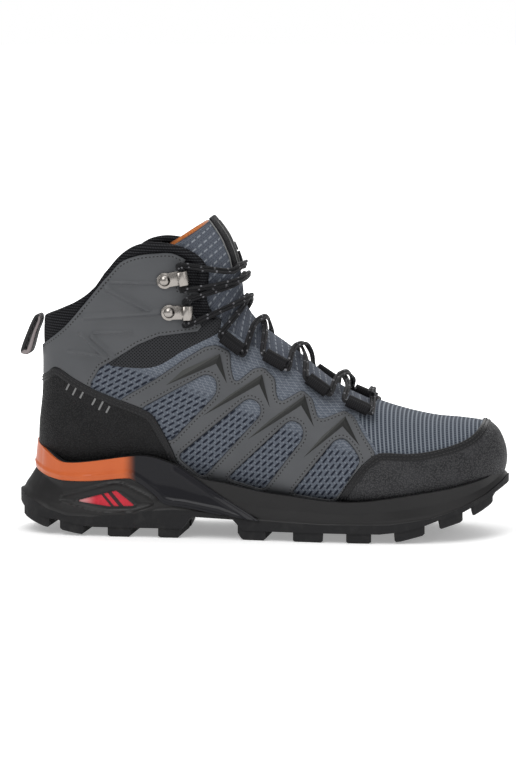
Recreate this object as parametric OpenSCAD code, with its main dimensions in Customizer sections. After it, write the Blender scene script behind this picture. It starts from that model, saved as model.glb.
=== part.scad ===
// Mid-height hiking boot, right foot. X runs to the toe, Y to the inner (medial) side, Z up.
// The origin is under the middle of the sole, on the ground.

/* [Size] */
// Length of the sole from heel to toe
sole_length = 300; // [280:2:320]
// Width of the sole at the ball of the foot
sole_width = 108; // [102:1:114]
// Height of the tongue above the ground
boot_height = 193; // [185:1:201]

/* [Fabric and foam] */
// Thickness of the woven upper fabric
fabric_t = 1.1; // [0.9:0.1:1.2]
// Thickness of the moulded overlays
overlay_t = 1.2; // [1:0.1:1.4]
// Thickness of the padded collar, from outside to lining
collar_t = 8; // [7:0.5:9]
// Thickness of the padded tongue
tongue_t = 5; // [4.4:0.2:5.4]
// Thickness of the removable insole
insole_t = 4; // [3:0.5:5]

/* [Sole] */
// Depth of the lugs
lug_h = 5; // [3.5:0.5:6]
// Width of the groove along the middle of the tread
tread_groove = 9; // [6:1:14]
// Thickness of the plastic band round the heel
band_t = 2.4; // [2:0.2:3]

/* [Laces and hardware] */
// Diameter of the lace
lace_d = 2.8; // [2.4:0.2:3]
// Length of a lace hook's plate
hook_l = 19; // [17:0.5:20]
// Width of a lace hook's plate
hook_w = 9.6; // [9:0.2:10.4]
// Radius of a hook rivet's shank
rivet_r = 1.5; // [1.3:0.1:1.7]
// Width of the webbing of the pull loop
pull_w = 14; // [10:1:18]

/* [Hidden] */

// Growth along each axis against the size the outlines below are drawn at
grow_x = sole_length / 300;
grow_y = sole_width / 108;
grow_z = boot_height / 193;
gap = 0.12;         // air between neighbouring layers
sector = 15;        // degrees between the points of a ring
reach = 90;         // half width of the prisms that trim the upper

// ---------- the last: rings from the toe tip, under the foot and up the leg ----------
// Each ring: bottom or back point x z, top or front point x z, y of its middle, half width,
// height of its widest place as a fraction, squareness below and above that place
RINGS = [
    [147.2, 42, 147.6, 47, 8, 3.5, .45, .60, .75],
    [145, 35, 146.2, 54, 8, 13.5, .42, .58, .75],
    [139.5, 29.5, 142, 62.5, 7.5, 23, .38, .55, .75],
    [131, 26, 134.5, 67.8, 6.5, 31.5, .35, .52, .75],
    [119, 23, 121, 69.9, 5, 39.5, .32, .50, .76],
    [104, 20, 104, 71.6, 3, 45.2, .30, .50, .80],
    [86, 18, 85, 76, 1, 48.6, .28, .50, .85],
    [66, 17, 65, 83, -1, 49.5, .28, .50, .90],
    [44, 18, 43, 94.5, -3, 47, .28, .50, .95],
    [20, 20, 21, 111.5, -4, 42.5, .29, .50, .97],
    [-5, 24, 4, 123, -3.5, 38.8, .31, .50, .95],
    [-32, 28, -5, 131, -2.5, 36.5, .34, .52, .90],
    [-62, 31, -10, 138, -1.5, 35.5, .38, .55, .84],
    [-92, 32, -12, 144, -1, 35, .42, .58, .78],
    [-115, 33, -12.5, 148.5, -.5, 34.5, .44, .60, .74],
    [-130, 37, -13.2, 152.5, 0, 34, .45, .62, .72],
    [-136, 48, -13.8, 157, 0, 34, .45, .64, .70],
    [-136.5, 64, -14.7, 161, 0, 34.2, .45, .66, .69],
    [-134.5, 84, -15.8, 165, 0, 34.5, .45, .67, .68],
    [-134, 104, -17, 169.5, 0, 35, .45, .68, .68],
    [-134.5, 122, -18.8, 174.5, 0, 35.8, .45, .68, .68],
    [-133, 137, -21.5, 180.5, 0, 36.5, .45, .68, .68],
    [-127, 155, -26, 187, 0, 37, .45, .68, .68],
    [-120, 172, -31, 193, 0, 37, .45, .68, .68]
];
last_ring = len(RINGS) - 1;
// Places along the list where rings are modelled, closer where they stand far apart
STOPS = [each [0:1:5], each [5.5:0.5:13], each [14:1:last_ring]];

// A smooth curve through four points, f from 0 at p1 to 1 at p2
function smooth(p0, p1, p2, p3, f) =
    0.5 * (2 * p1 + (p2 - p0) * f + (2 * p0 - 5 * p1 + 4 * p2 - p3) * f * f
        + (3 * p1 - p0 - 3 * p2 + p3) * f * f * f);
function along(list, k) =
    let (n = len(list) - 1, i = min(floor(k), n - 1))
    smooth(list[max(i - 1, 0)], list[i], list[i + 1], list[min(i + 2, n)], k - i);
// An open or closed curve through points, with n steps between two of them
function curve(list, n = 2) = let (last = len(list) - 1)
    [for (k = [0:1 / n:last + 0.001]) along(list, min(k, last))];
function loop(list, n = 3) =
    let (m = len(list))
    [for (i = [0:m - 1], j = [0:n - 1])
        smooth(list[(i + m - 1) % m], list[i], list[(i + 1) % m], list[(i + 2) % m], j / n)];
// Value of a piecewise straight function given as [at, value] pairs
function between(table, x) = lookup(x, table);
function unit(v) = v / norm(v);

// Point of the last at ring k and angle a: 0 at the sole or heel, 180 at the vamp or shin,
// negative on the outer side. The ring is drawn smaller by inset, and narrower by slim.
function last_at(k, a, inset = 0, slim = 0) =
    let (
        r = along(RINGS, k),
        up = unit([r[2] - r[0], r[3] - r[1]]) * inset,
        low = [r[0], r[1]] + up,
        high = [r[2], r[3]] - up,
        t = abs(a),
        v = t <= 90 ? r[6] * (1 - cos(t)) : 1 - (1 - r[6]) * (1 + cos(t)),
        y = sign(a) * (r[5] - inset - slim) * pow(max(sin(t), 0), t <= 90 ? r[7] : r[8])
    )
    let (p = low + (high - low) * v) [p[0] * grow_x, (y + r[4]) * grow_y, p[1] * grow_z];
// Outward direction of the last there
function normal_at(k, a) =
    let (
        h = 4,
        a0 = a - h,
        a1 = a + h,
        across = last_at(k, a1 > 180 ? a1 - 360 : a1) - last_at(k, a0 < -180 ? a0 + 360 : a0),
        ahead = last_at(min(k + 0.3, last_ring), a) - last_at(max(k - 0.3, 0), a)
    )
    unit(cross(ahead, across));
// Point at a distance outside the last
function skin(k, a, out, inset = 0) = last_at(k, a, inset) + normal_at(k, a) * out;
// The same, with the angle counted from the middle of the vamp, positive to the outer side
function front(k, psi, out, inset = 0) = skin(k, psi >= 0 ? psi - 180 : 180 + psi, out, inset);

// ---------- solids built from points ----------
// Closed tube of quads between equal rings of points. Its ends are fans round their middles, or,
// where the ring is a thin strip, bands between the strip's two long sides
module tube(rows, thin = false) {
    n = len(rows);
    m = len(rows[0]);
    middles = [for (row = [rows[0], rows[n - 1]]) [for (c = [0:2]) sum_of(row, c) / m]];
    points = concat([for (row = rows, p = row) p], thin ? [] : middles);
    sides = [for (i = [0:n - 2], j = [0:m - 1])
        let (a = i * m + j, b = i * m + (j + 1) % m)
        each thin && j >= m / 2 ? [[a, b, a + m], [b, b + m, a + m]] : [[a, b, b + m], [a, b + m, a + m]]];
    last_row = (n - 1) * m;
    fans = [for (j = [0:m - 1])
        each [[n * m, (j + 1) % m, j], [n * m + 1, last_row + j, last_row + (j + 1) % m]]];
    bands = [for (j = [0:m / 2 - 2])
        let (a = j, b = j + 1, c = m - 2 - j, d = m - 1 - j)
        each [[c, b, a], [d, c, a], [last_row + a, last_row + b, last_row + c],
            [last_row + a, last_row + c, last_row + d]]];
    polyhedron(points, concat(sides, thin ? bands : fans), convexity = 10);
}
function sum_of(row, c, i = 0) = i == len(row) ? 0 : row[i][c] + sum_of(row, c, i + 1);

// The last between two rings, grown outwards by out or drawn smaller by inset
module last_solid(out = 0, inset = 0, from = 0, to = last_ring) {
    tube([for (k = STOPS) if (k >= from && k <= to)
        [for (a = [-180 + sector:sector:180]) skin(k, a, out, inset)]]);
}
// A sheet over u and v from 0 to 1 between two surfaces given as functions of u and v
module sheet(nu, nv, outer, inner) {
    tube([for (i = [0:nu])
        concat(
            [for (j = [0:nv]) inner(i / nu, j / nv)],
            [for (j = [nv:-1:0]) outer(i / nu, j / nv)]
        )], true);
}
// A round cord through points
module cord(path, d, sides = 6) {
    n = len(path) - 1;
    tube([for (i = [0:n])
        let (
            dir = unit(path[min(i + 1, n)] - path[max(i - 1, 0)]),
            side = unit(cross(dir, abs(dir[2]) > 0.9 ? [1, 0, 0] : [0, 0, 1])),
            up = cross(side, dir)
        )
        [for (j = [0:sides - 1]) let (a = 360 * j / sides)
            path[i] + (side * cos(a) + up * sin(a)) * d / 2]]);
}
// Directions on the last: up the ring list, across it, and outwards
function frame_at(k, psi) =
    let (
        z = normal_at(k, psi >= 0 ? psi - 180 : 180 + psi),
        ahead = front(k + 0.2, psi, 0) - front(k - 0.2, psi, 0),
        x = unit(ahead - z * (ahead * z))
    )
    [x, cross(z, x), z];
// Children standing on the last, x up the ring list, z outwards
module on_last(k, psi, out = 0, roll = 0) {
    f = frame_at(k, psi);
    p = front(k, psi, out);
    multmatrix([for (i = [0:3]) i < 3 ? [f[0][i], f[1][i], f[2][i], p[i]] : [0, 0, 0, 1]])
        rotate([0, 0, roll]) children();
}
// One mesh of all its children
module as_mesh() {
    resize([0, 0, 0]) children();
}
// An outline in the side view, pushed through the outer (-1) or inner (1) half or both (0)
module side_prism(half = 0) {
    translate([0, half < 0 ? 0 : reach, 0]) rotate([90, 0, 0])
        linear_extrude(height = half == 0 ? 2 * reach : reach) scale([grow_x, grow_z]) children();
}
// A skin layer between two distances outside the last, cut to an outline in the side view
module panel(low, high, half = 0, from = 0, to = last_ring) {
    as_mesh() intersection() {
        difference() {
            last_solid(high, from = from, to = to);
            last_solid(low, from = max(from - 1, 0), to = to);
        }
        side_prism(half) children();
    }
}

// ---------- outlines in the side view (x, z) ----------
// Where the upper meets the rim of the sole
RIM = [
    [152, 46], [146, 41.5], [137, 36.4], [120, 32.2], [100, 29.4], [80, 26.6], [63, 24.6], [44, 24.6],
    [22, 27], [4, 29], [-18, 33.4], [-34, 36.3], [-47.9, 43.4], [-58.6, 47.4], [-67.2, 49.2],
    [-78, 48.8], [-99.4, 45.6], [-113.5, 44.1], [-121.5, 45.1], [-129.7, 50.1], [-141, 57]
];
// Edge of the collar: back, up over the ankle, down the front
TOPLINE = [
    [-141, 130.5], [-133, 132], [-126, 134.5], [-118.8, 137.6], [-111.4, 141.6], [-104, 146.3],
    [-96.7, 153], [-89.3, 161], [-82, 169.3], [-74.6, 174.6], [-67.2, 176.8], [-59.9, 177.1],
    [-50.3, 175.6], [-42.5, 172.4], [-37, 168.6], [-33, 162.6], [-31.6, 155], [-32, 146],
    [-29.8, 138], [-24, 131]
];
// Edge of the lacing gap from the collar down to the vamp
THROAT = [
    [-18, 125], [-8, 118], [4, 111.5], [17, 104.5], [30, 96.5], [43, 89.5], [55, 83.5], [64, 80],
    [70, 81], [73, 86]
];
// Lower edge of the padded collar on the outside, back to front
COLLAR_EDGE = [
    [-143, 108], [-132, 115.3], [-117.6, 126.6], [-104.3, 141.6], [-91.5, 156.8], [-82.6, 166.2],
    [-72.5, 170.2], [-62.9, 171.4], [-52.2, 171.6], [-43.9, 167.5]
];
// Front edge of the ankle panel, with its two points towards the laces, and its lower edge
ANKLE_FRONT = [[-48.4, 160.7], [-47.7, 149.8], [-36.3, 147.5], [-42.8, 138.9], [-34.7, 127]];
ANKLE_LOW = [
    [-36.8, 124.2], [-60.5, 121.4], [-72.7, 116.3], [-87.8, 106.8], [-95.7, 102.2], [-101.5, 92.8]
];
// Lower edge of the net panel between collar and fabric
FLEX_LOW = [[-24, 126], [-26.1, 123.2], [-45.7, 113.4], [-58.4, 105.4], [-69.8, 102.7], [-89, 104]];
// Upper edges of the heel panel and the toe cap
HEEL_TOP = [
    [-142, 91], [-130, 97.1], [-123.4, 101.2], [-111.7, 94.7], [-99.7, 88.8], [-84.5, 82.8],
    [-68.6, 76.9], [-63, 73.2], [-58.6, 66.2], [-52.5, 54.6], [-47.8, 43.8], [-38.5, 34]
];
TOE_TOP = [
    [46, 20], [55.6, 35.1], [63.7, 45.7], [71.1, 51.7], [76.2, 53.4], [90.6, 52.6], [100.6, 53.2],
    [110.4, 54.9], [120.2, 57.6], [127.8, 61.2], [133, 66.5], [138, 74]
];
// The cage's upper edge, with a peak at each lace loop
CAGE_TOP = [
    [-83, 83.1], [-61.4, 95.7], [-45.3, 107], [-32.5, 114.9], [-25.4, 116], [-17.2, 111.9],
    [-16.5, 103], [-14.4, 95.3], [-11.7, 94.6], [-2.7, 102.1], [3.4, 102.7], [10.5, 96.3],
    [11.6, 87.6], [13.1, 84], [15.7, 83.4], [26.7, 89.6], [33.1, 84.6], [36.7, 74],
    [39.7, 73], [52.1, 77.4], [58.4, 73.8], [62.9, 66.2], [71.6, 53.7]
];
CAGE_WINDOWS = [
    [[-71.6, 77.5], [-31.1, 99.5], [-24.9, 96.2], [-24.3, 87.3], [-53.2, 57.1]],
    [[-49.1, 49], [-5.4, 85.4], [1.7, 82.7], [3.2, 75.5], [-33.7, 35.5]],
    [[-18.9, 36.1], [20.5, 73.1], [27.9, 70.1], [29.1, 62.3], [3.8, 29.4]],
    [[20.6, 28.1], [47.3, 61.3], [53.5, 62.5], [59.8, 55.5], [63.7, 48.9], [47.2, 24.6]]
];
// Each peak's facet: top, inner corner, far tip, point on the upper edge, tip on the toe side
CHEVRONS = [
    [[-23.3, 110.5], [-25.3, 104.9], [-55.4, 91.9], [-45.4, 101], [-18.3, 93.2]],
    [[2.6, 98.3], [1.2, 93], [-32.8, 74], [-16.7, 86.5], [8.2, 79.6]],
    [[28.4, 86], [26.7, 80.8], [-5.1, 60.5], [8.3, 72.4], [35, 68.4]],
    [[52.7, 73.5], [51.7, 68.6], [29.1, 50.7], [40.3, 63.5], [62.5, 57.5]]
];
// Middles of the lace loops as ring and angle from the middle of the vamp, and their roll
LOOPS = [[11.62, 45.2, 4], [9.59, 37.7, 2], [8.39, 36, 0], [7.29, 34.5, -2]];
// Rivets of the lace hooks, the same way
HOOKS = [[19.8, 66.3, 0], [17.7, 65.6, 0]];
// Line between the foam of the sole and its rubber
MID_LINE = [
    [-152, 25], [-140, 21], [-128, 15.2], [-116, 12], [-99, 11.8], [-80, 13.5], [-65, 16],
    [-50, 17], [-25, 15.5], [0, 12], [40, 10.5], [80, 11], [105, 14.5], [125, 20.5], [138, 27],
    [146, 32.5], [152, 37.5]
];
// Lowest line of the lugs
GROUND = [
    [-152, 14], [-145, 9], [-131, 4.5], [-123, 3.6], [-112, 1.6], [-100, 0], [-45, 0], [-40, 7.5],
    [-14, 6.5], [-8, 0], [75, 0], [88, 1.4], [102, 5], [110, 8], [124, 12], [135, 17.5], [144, 23],
    [152, 28]
];
// Outline of the sole in plan, outer side first
PLAN = [
    [-150, 0], [-146, -17], [-134, -31], [-110, -39], [-80, -41], [-45, -42.5], [-10, -46],
    [25, -51], [60, -54], [90, -52.5], [115, -45], [135, -30], [147, -10], [150, 6], [146, 20],
    [134, 34], [115, 46], [88, 54], [60, 51.5], [30, 45], [0, 39.5], [-40, 37], [-80, 38],
    [-110, 37], [-134, 29.5], [-146, 16]
];
// Where each lug starts and ends along the sole
LUGS = [
    [-145, -126], [-119, -104], [-89, -75], [-58, -45], [-9, 8], [19, 37], [51, 66], [80, 98],
    [107, 121], [127, 140]
];
far_up = 260;
far_out = 170;

// Regions made from these lines; grow adds a margin all round
module region(points, grow = 0) {
    offset(delta = grow) polygon(points);
}
module above_rim(lift = 0) {
    polygon(concat(
        [for (p = curve(RIM)) p + [0, lift]],
        [[-far_out, 60 + lift], [-far_out, far_up], [far_out, far_up]]
    ));
}
module upper_region() {
    polygon(concat(curve(TOPLINE), curve(THROAT), [
        [75, far_up], [far_out, far_up], [far_out, 0], [-far_out, 0], [-far_out, 130.5]
    ]));
}
module heel_region(grow = 0) {
    region(concat(curve(HEEL_TOP), [[-38.5, 10], [-far_out, 10], [-far_out, 91]]), grow);
}
module toe_region(grow = 0) {
    region(concat(curve(TOE_TOP), [[far_out, 74], [far_out, 10], [46, 10]]), grow);
}
module ankle_region(grow = 0) {
    region(concat(curve(COLLAR_EDGE), ANKLE_FRONT, ANKLE_LOW,
        [[-101.5, 70], [-far_out, 70], [-far_out, 108]]), grow);
}
module flex_region(grow = 0) {
    region(concat([[-30, 134], [-24, 131]], curve(FLEX_LOW), [[-95, 112], [-60, 130]]), grow);
}
module collar_region(grow = 0) {
    region(concat(curve(TOPLINE), [[-60, 125], [-115, 105], [-far_out, 105], [-far_out, 130.5]]), grow);
}
module cage_region(grow = 0) {
    region(concat(CAGE_TOP, [[71.6, 10], [-100, 10], [-100, 60]]), grow);
}

// ---------- sole ----------
function plan_outline(share = 1) = [for (p = loop(PLAN, 2)) [p[0] * grow_x, p[1] * grow_y] * share];
// How far the rim stands in from the plan outline, by place along the sole
RIM_IN = [[-152, 12.5], [-140, 10.6], [-120, 4], [-80, 2.8], [0, 2.4], [60, 2], [120, 3], [152, 3]];
// Share of that inset from the bottom of the foam (0) to the rim (1)
WALL = [[0, 0], [0.25, 0.45], [0.5, 0.85], [1, 1]];
// Foam body with leaning walls, one row of points for each height, grown outwards by grow. With
// top over 1 it goes on upright past the rim
module sole_body(grow = 0, top = 1) {
    outline = plan_outline();
    n = len(outline);
    tube([for (v = concat(top > 1 ? [top] : [], [1, 0.5, 0.25, 0, -0.6]))
        [for (j = [0:n - 1])
            let (
                p = outline[j],
                ahead = unit(outline[(j + 1) % n] - outline[(j + n - 1) % n]),
                away = [ahead[1], -ahead[0]],
                q = p + away * (grow - between(RIM_IN, p[0]) * between(WALL, max(v, 0))),
                low = between(MID_LINE, q[0]),
                high = between([for (i = [len(RIM) - 1:-1:0]) RIM[i]], q[0])
            )
            [q[0], q[1], (low + (high - low) * v) * grow_z]]]);
}
function lifted(line, by) = [for (p = line) [p[0] * grow_x, max(0, p[1] * grow_z + by)]];
// Plain side-view band between two lines, across the whole width
module band_between(low, high) {
    translate([0, reach, 0]) rotate([90, 0, 0]) linear_extrude(height = 2 * reach)
        polygon(concat(low, [for (i = [len(high) - 1:-1:0]) high[i]]));
}
// One lug in plan: a bar that leans towards the toe at its outer end
module lug(start, end, side) {
    lean = start > 0 ? 7 : -4;
    polygon([
        [start * grow_x, side * tread_groove / 2], [end * grow_x, side * tread_groove / 2],
        [(end + lean) * grow_x, side * reach], [(start + lean) * grow_x, side * reach]
    ]);
}
module outsole() {
    ground = lifted(curve(GROUND, 1), 0);
    tread = lifted(GROUND, lug_h);
    top = lifted(curve(MID_LINE, 2), -gap);
    color("#17181a") {
        intersection() {
            linear_extrude(height = 60) polygon(plan_outline());
            band_between(tread, top);
        }
        intersection() {
            linear_extrude(height = 60) polygon(plan_outline(0.992));
            linear_extrude(height = 60) union() for (l = LUGS, side = [-1, 1]) lug(l[0], l[1], side);
            band_between(ground, lifted(GROUND, lug_h + 0.5));
        }
    }
}
// Lower edge of the plastic heel band and the window under it, in the side view
BAND_LOW = [
    [-143, 41], [-139.9, 39.4], [-135.6, 36.7], [-124.7, 33.9], [-114.3, 33.1], [-99.1, 33.6],
    [-79.8, 35.6], [-73.4, 33.7], [-62.7, 26.3], [-56.2, 20.6], [-44, 18.8]
];
WINDOW = [[-111.1, 21.4], [-86.1, 28], [-74.3, 19.2], [-90.3, 18.6]];
band_in = 1.4;       // how far the heel band is let into the foam
window_in = 2.5;     // how far the window's insert lies back
window_t = 2.5;      // its thickness
shank_t = 1.8;       // thickness of the stiffening plate
shank_w = 24;        // and its width
board_t = 1.6;       // thickness of the board the upper is lasted on
board_under = 0.6;   // height of its underside over the last's lowest line
insole_under = board_under + board_t + 0.2;

// The band runs up past the rim, so that the foam's own top edge ends it
module heel_band_region(grow = 0) {
    region(concat(curve(BAND_LOW, 2), [[-40, 26], [-38, 60], [-143, 70]]), grow);
}
// Lowest line of the last, raised by some distance and by a share of the padding
function under_last(by, from, to, share = 0) = [
    for (k = [0:0.5:16]) let (r = along(RINGS, k))
        if (r[0] > from && r[0] < to) [r[0], r[1] + by + share * padding(k)]
];
// Side-view strip that follows the underside of the last
module sole_strip(low, high, from, to, share = 0) {
    a = under_last(low, from, to);
    b = under_last(high, from, to, share);
    polygon(concat(a, [for (i = [len(b) - 1:-1:0]) b[i]]));
}
module midsole() {
    color("#1b1c1e") as_mesh() difference() {
        sole_body();
        band_between([[-far_out, -far_up], [far_out, -far_up]], lifted(curve(MID_LINE, 2), 0));
        side_prism() above_rim(-0.3);
        last_solid(0.25, to = 20);
        intersection() {
            side_prism() heel_band_region(gap);
            difference() {
                sole_body(band_t, 1.6);
                sole_body(-band_in - gap, 1.6);
            }
        }
        intersection() {
            side_prism() region(WINDOW, gap);
            difference() {
                sole_body(band_t);
                sole_body(-window_in - window_t - gap);
            }
        }
        shank_block(gap);
    }
}
module heel_stabiliser() {
    color("#c8551f") as_mesh() intersection() {
        difference() {
            sole_body(band_t - band_in);
            sole_body(-band_in, 1.6);
            last_solid(0.4);
            side_prism() above_rim(-0.3);
        }
        side_prism() heel_band_region();
    }
}
module window_inserts() {
    color("#b01826") as_mesh() intersection() {
        difference() {
            sole_body(-window_in);
            sole_body(-window_in - window_t);
        }
        side_prism() region(WINDOW);
    }
}
// The stiffening plate, in a groove under the arch
module shank_block(grow = 0) {
    intersection() {
        side_prism() offset(delta = grow) sole_strip(-shank_t - 0.5, -0.5 + 6 * grow, -70, 30);
        translate([-reach, (-shank_w / 2 - grow), 0]) cube([2 * reach, shank_w + 2 * grow, reach]);
    }
}
module shank() {
    color("#5a5f66") as_mesh() shank_block();
}
// The last made narrower but not shallower, for the flat pieces on its floor. Like the lining, it
// leaves room for the padding where slope is 1
module floor_solid(slim, slope = 1) {
    tube([for (k = STOPS) if (k > 0 && k < 19)
        [for (a = [-180 + sector:sector:180]) last_at(k, a, 0, fabric_t + slim + slope * padding(k))]]);
}
module insole_board() {
    color("#d8cdb4") as_mesh() intersection() {
        floor_solid(0.7, 0);
        side_prism() sole_strip(board_under, board_under + board_t, -128, 136);
    }
}
module insole() {
    color("#3a3d42") as_mesh() intersection() {
        floor_solid(5.2 + lining_t);
        side_prism() sole_strip(insole_under, insole_under + insole_t, -123, 131);
    }
}

// ---------- inner layers of the upper ----------
lining_t = 0.9;     // thickness of the lining
// Depth of the padding between fabric and lining at a ring
function padding(k) = between([[0, 0.5], [9, 0.5], [14, collar_t - fabric_t - lining_t]], k);
// Room behind the fabric for the heel counter and the toe puff
behind = fabric_t + 1.9;

// A body of the last whose distance inwards changes from ring to ring
module lining_solid(more) {
    tube([for (k = [3:1:last_ring])
        [for (a = [-180 + sector:sector:180]) last_at(k, a, behind + padding(k) + more)]]);
}
// Side-view region of the padded collar, which also lies behind the ankle panels
module collar_side(grow = 0) {
    offset(delta = grow) intersection() {
        upper_region();
        difference() {
            union() {
                collar_region();
                ankle_region();
            }
            heel_region(gap);
        }
    }
}
// What the lining leaves free for the tongue's wings
LINING_TOP = [
    [82, far_up], [82, 62], [64, 62], [46, 68], [20, 84], [0, 92], [-20, 98], [-45, 106], [-66, 118],
    [-66, far_up]
];
module lining() {
    color("#26282b") as_mesh() difference() {
        intersection() {
            lining_solid(0);
            side_prism() difference() {
                upper_region();
                collar_side(gap);
                polygon(LINING_TOP);
            }
        }
        lining_solid(lining_t);
        side_prism() sole_strip(-30, insole_under + insole_t + 3, -160, 160, 1);
    }
}
module heel_counter() {
    color("#cfc9bb") panel(-fabric_t - 1.5, -fabric_t - gap, from = 11, to = 20) {
        intersection() {
            above_rim(-12);
            polygon([[-far_out, 40], [-60, 36], [-60, 50], [-80, 78], [-far_out, 84]]);
        }
    }
}
module toe_puff() {
    color("#cfc9bb") panel(-fabric_t - 1.1, -fabric_t - gap, from = 1, to = 7) {
        polygon([[96, 36], [far_out, 36], [far_out, 90], [122, 90], [104, 56]]);
    }
}

// ---------- outer layers of the upper ----------
// Holes for the hook rivets
module rivet_holes() {
    for (h = HOOKS, side = [-1, 1])
        on_last(h[0], -side * h[1]) translate([0, 0, -6]) cylinder(h = 12, r = rivet_r + 0.15, $fn = 16);
}
module upper_mesh() {
    color("#5a6270") as_mesh() intersection() {
        difference() {
            last_solid(0);
            last_solid(-fabric_t, from = 1);
            side_prism() sole_strip(-20, board_under + board_t + 1.2, -150, 147);
        }
        side_prism() difference() {
            upper_region();
            collar_region();
            ankle_region();
            flex_region(gap);
        }
    }
}
module toe_cap() {
    color("#222326") panel(gap, gap + overlay_t, to = 9) {
        intersection() {
            toe_region();
            above_rim(0.2);
        }
    }
}
module heel_panel() {
    color("#222326") panel(gap, gap + overlay_t, from = 9) {
        intersection() {
            heel_region();
            above_rim(0.2);
        }
    }
}
module cage(half) {
    color("#53565a") panel(gap, gap + overlay_t, half, from = 5, to = 15) {
        difference() {
            intersection() {
                cage_region();
                above_rim(0.2);
            }
            toe_region(gap);
            heel_region(gap);
            for (w = CAGE_WINDOWS) offset(r = 2) offset(r = -2) polygon(w);
        }
    }
}
module cage_lateral() {
    cage(-1);
}
module cage_medial() {
    cage(1);
}
module chevrons(half) {
    color("#3c3e41") panel(overlay_t + 2 * gap, overlay_t + 2 * gap + 0.9, half, from = 5, to = 14) {
        for (c = CHEVRONS) {
            polygon([c[0], c[1], c[2], c[3]]);
            polygon([c[0] + [0.5, -0.3], c[4], c[1] + [0.4, -0.2]]);
        }
    }
}
module chevrons_lateral() {
    chevrons(-1);
}
module chevrons_medial() {
    chevrons(1);
}
module ankle_panel(half) {
    color("#55585c") as_mesh() difference() {
        panel(gap, gap + overlay_t, half, from = 10) {
            difference() {
                ankle_region();
                heel_region(gap);
            }
        }
        translate([-far_out, half < 0 ? -gap : -far_out + gap, 0]) cube([2 * far_out, far_out, far_up]);
        rivet_holes();
    }
}
module ankle_panel_lateral() {
    ankle_panel(-1);
}
module ankle_panel_medial() {
    ankle_panel(1);
}
module flex_panels() {
    color("#141516") panel(-fabric_t, 0, from = 9) {
        difference() {
            flex_region();
            collar_region(gap);
            ankle_region(gap);
        }
    }
}
// The padded collar: fabric outside, over the edge and down the inside
collar_fabric = 0.9;
module collar() {
    color("#161719") as_mesh() difference() {
        intersection() {
            difference() {
                last_solid(0, from = 9);
                last_solid(0, behind + padding(last_ring) + lining_t, from = 8);
            }
            side_prism() collar_side();
        }
        intersection() {
            difference() {
                last_solid(-collar_fabric, from = 8);
                last_solid(0, behind + padding(last_ring), from = 8);
            }
            side_prism() offset(delta = -collar_fabric) union() {
                upper_region();
                polygon([[-far_out, 100], [0, 100], [0, -far_up], [-far_out, -far_up]]);
            }
        }
        // Towards the laces the collar is the outer fabric alone
        intersection() {
            last_solid(-collar_fabric, from = 9);
            side_prism() polygon([[-62, -10], [-62, far_up], [20, far_up], [20, -10]]);
        }
        rivet_holes();
    }
}
module collar_foam() {
    color("#8d8f92") as_mesh() intersection() {
        difference() {
            last_solid(-fabric_t - gap, from = 9);
            last_solid(0, behind - 0.1 + padding(last_ring), from = 8);
        }
        side_prism() intersection() {
            offset(delta = -collar_fabric - 0.4) upper_region();
            polygon([[-far_out, 92], [-100, 92], [-68, 118], [-66, far_up], [-far_out, far_up]]);
        }
    }
}

// ---------- tongue ----------
// Angle of the edge of the lacing gap at a ring, how far the wings reach under it, and how far
// inside the last they lie there
GAP_EDGE = [
    [6, 17], [7, 22], [8, 25], [9, 30], [11, 35.5], [13, 39], [17, 42], [19, 41], [20, 44], [23, 47]
];
WING_REACH = [[6, 3], [8, 8], [12, 12], [16, 14], [21, 13], [23, 11]];
WING_DEPTH = [[6, 1], [9, 2], [12, 3], [14, 5.5], [20, 6.5], [21.5, 3], [23, 1]];
tongue_from = 6.5;    // ring where the tongue is stitched in
face_depth = 2.3;     // depth of the tongue's face at the gap's edge
FACE_BULGE = [[7.6, 0], [9.5, 1.5]];   // how much higher its middle stands, by ring
cover_t = 1;          // thickness of the tongue's fabric
corner_drop = 0.07;   // how much lower its top corners stand, as a share of its length
// Ring, angle and depth of the tongue's surface for u from the vamp to the top and v from the
// outer to the inner side
function tongue_k(u, v) = tongue_from
    + (last_ring - tongue_from) * u * (1 - corner_drop * pow(abs(1 - 2 * v), 1.4));
function tongue_psi(u, v) = let (k = tongue_k(u, v))
    (1 - 2 * v) * (between(GAP_EDGE, k) + between(WING_REACH, k));
function tongue_depth(u, v) =
    let (
        k = tongue_k(u, v),
        face = between(GAP_EDGE, k) - 3,
        past = (abs(tongue_psi(u, v)) - face) / (between(WING_REACH, k) + 3)
    )
    past < 0 ? face_depth - between(FACE_BULGE, k) * (1 - pow(abs(tongue_psi(u, v)) / face, 2))
        : face_depth + between(WING_DEPTH, k) * pow(past, 1.3);
function tongue_at(u, v, more) = front(tongue_k(u, v), tongue_psi(u, v), -tongue_depth(u, v) - more);
module tongue_layer(high, low, u0 = 0, u1 = 1, v0 = 0, v1 = 1, nu = 15, nv = 7) {
    sheet(nu, nv,
        function(u, v) tongue_at(u0 + (u1 - u0) * u, v0 + (v1 - v0) * v, high),
        function(u, v) tongue_at(u0 + (u1 - u0) * u, v0 + (v1 - v0) * v, low));
}
module tongue_cover() {
    color("#5a6270") tongue_layer(0, cover_t);
}
module tongue_foam() {
    color("#8d8f92") tongue_layer(cover_t + gap, tongue_t - cover_t - gap);
}
module tongue_lining() {
    color("#e07a32") tongue_layer(tongue_t - cover_t, tongue_t);
}
module tongue_label() {
    color("#1b1c1e") tongue_layer(-1.2, -0.4, 0.62, 0.995, 0.4, 0.6, 9, 4);
}

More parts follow.
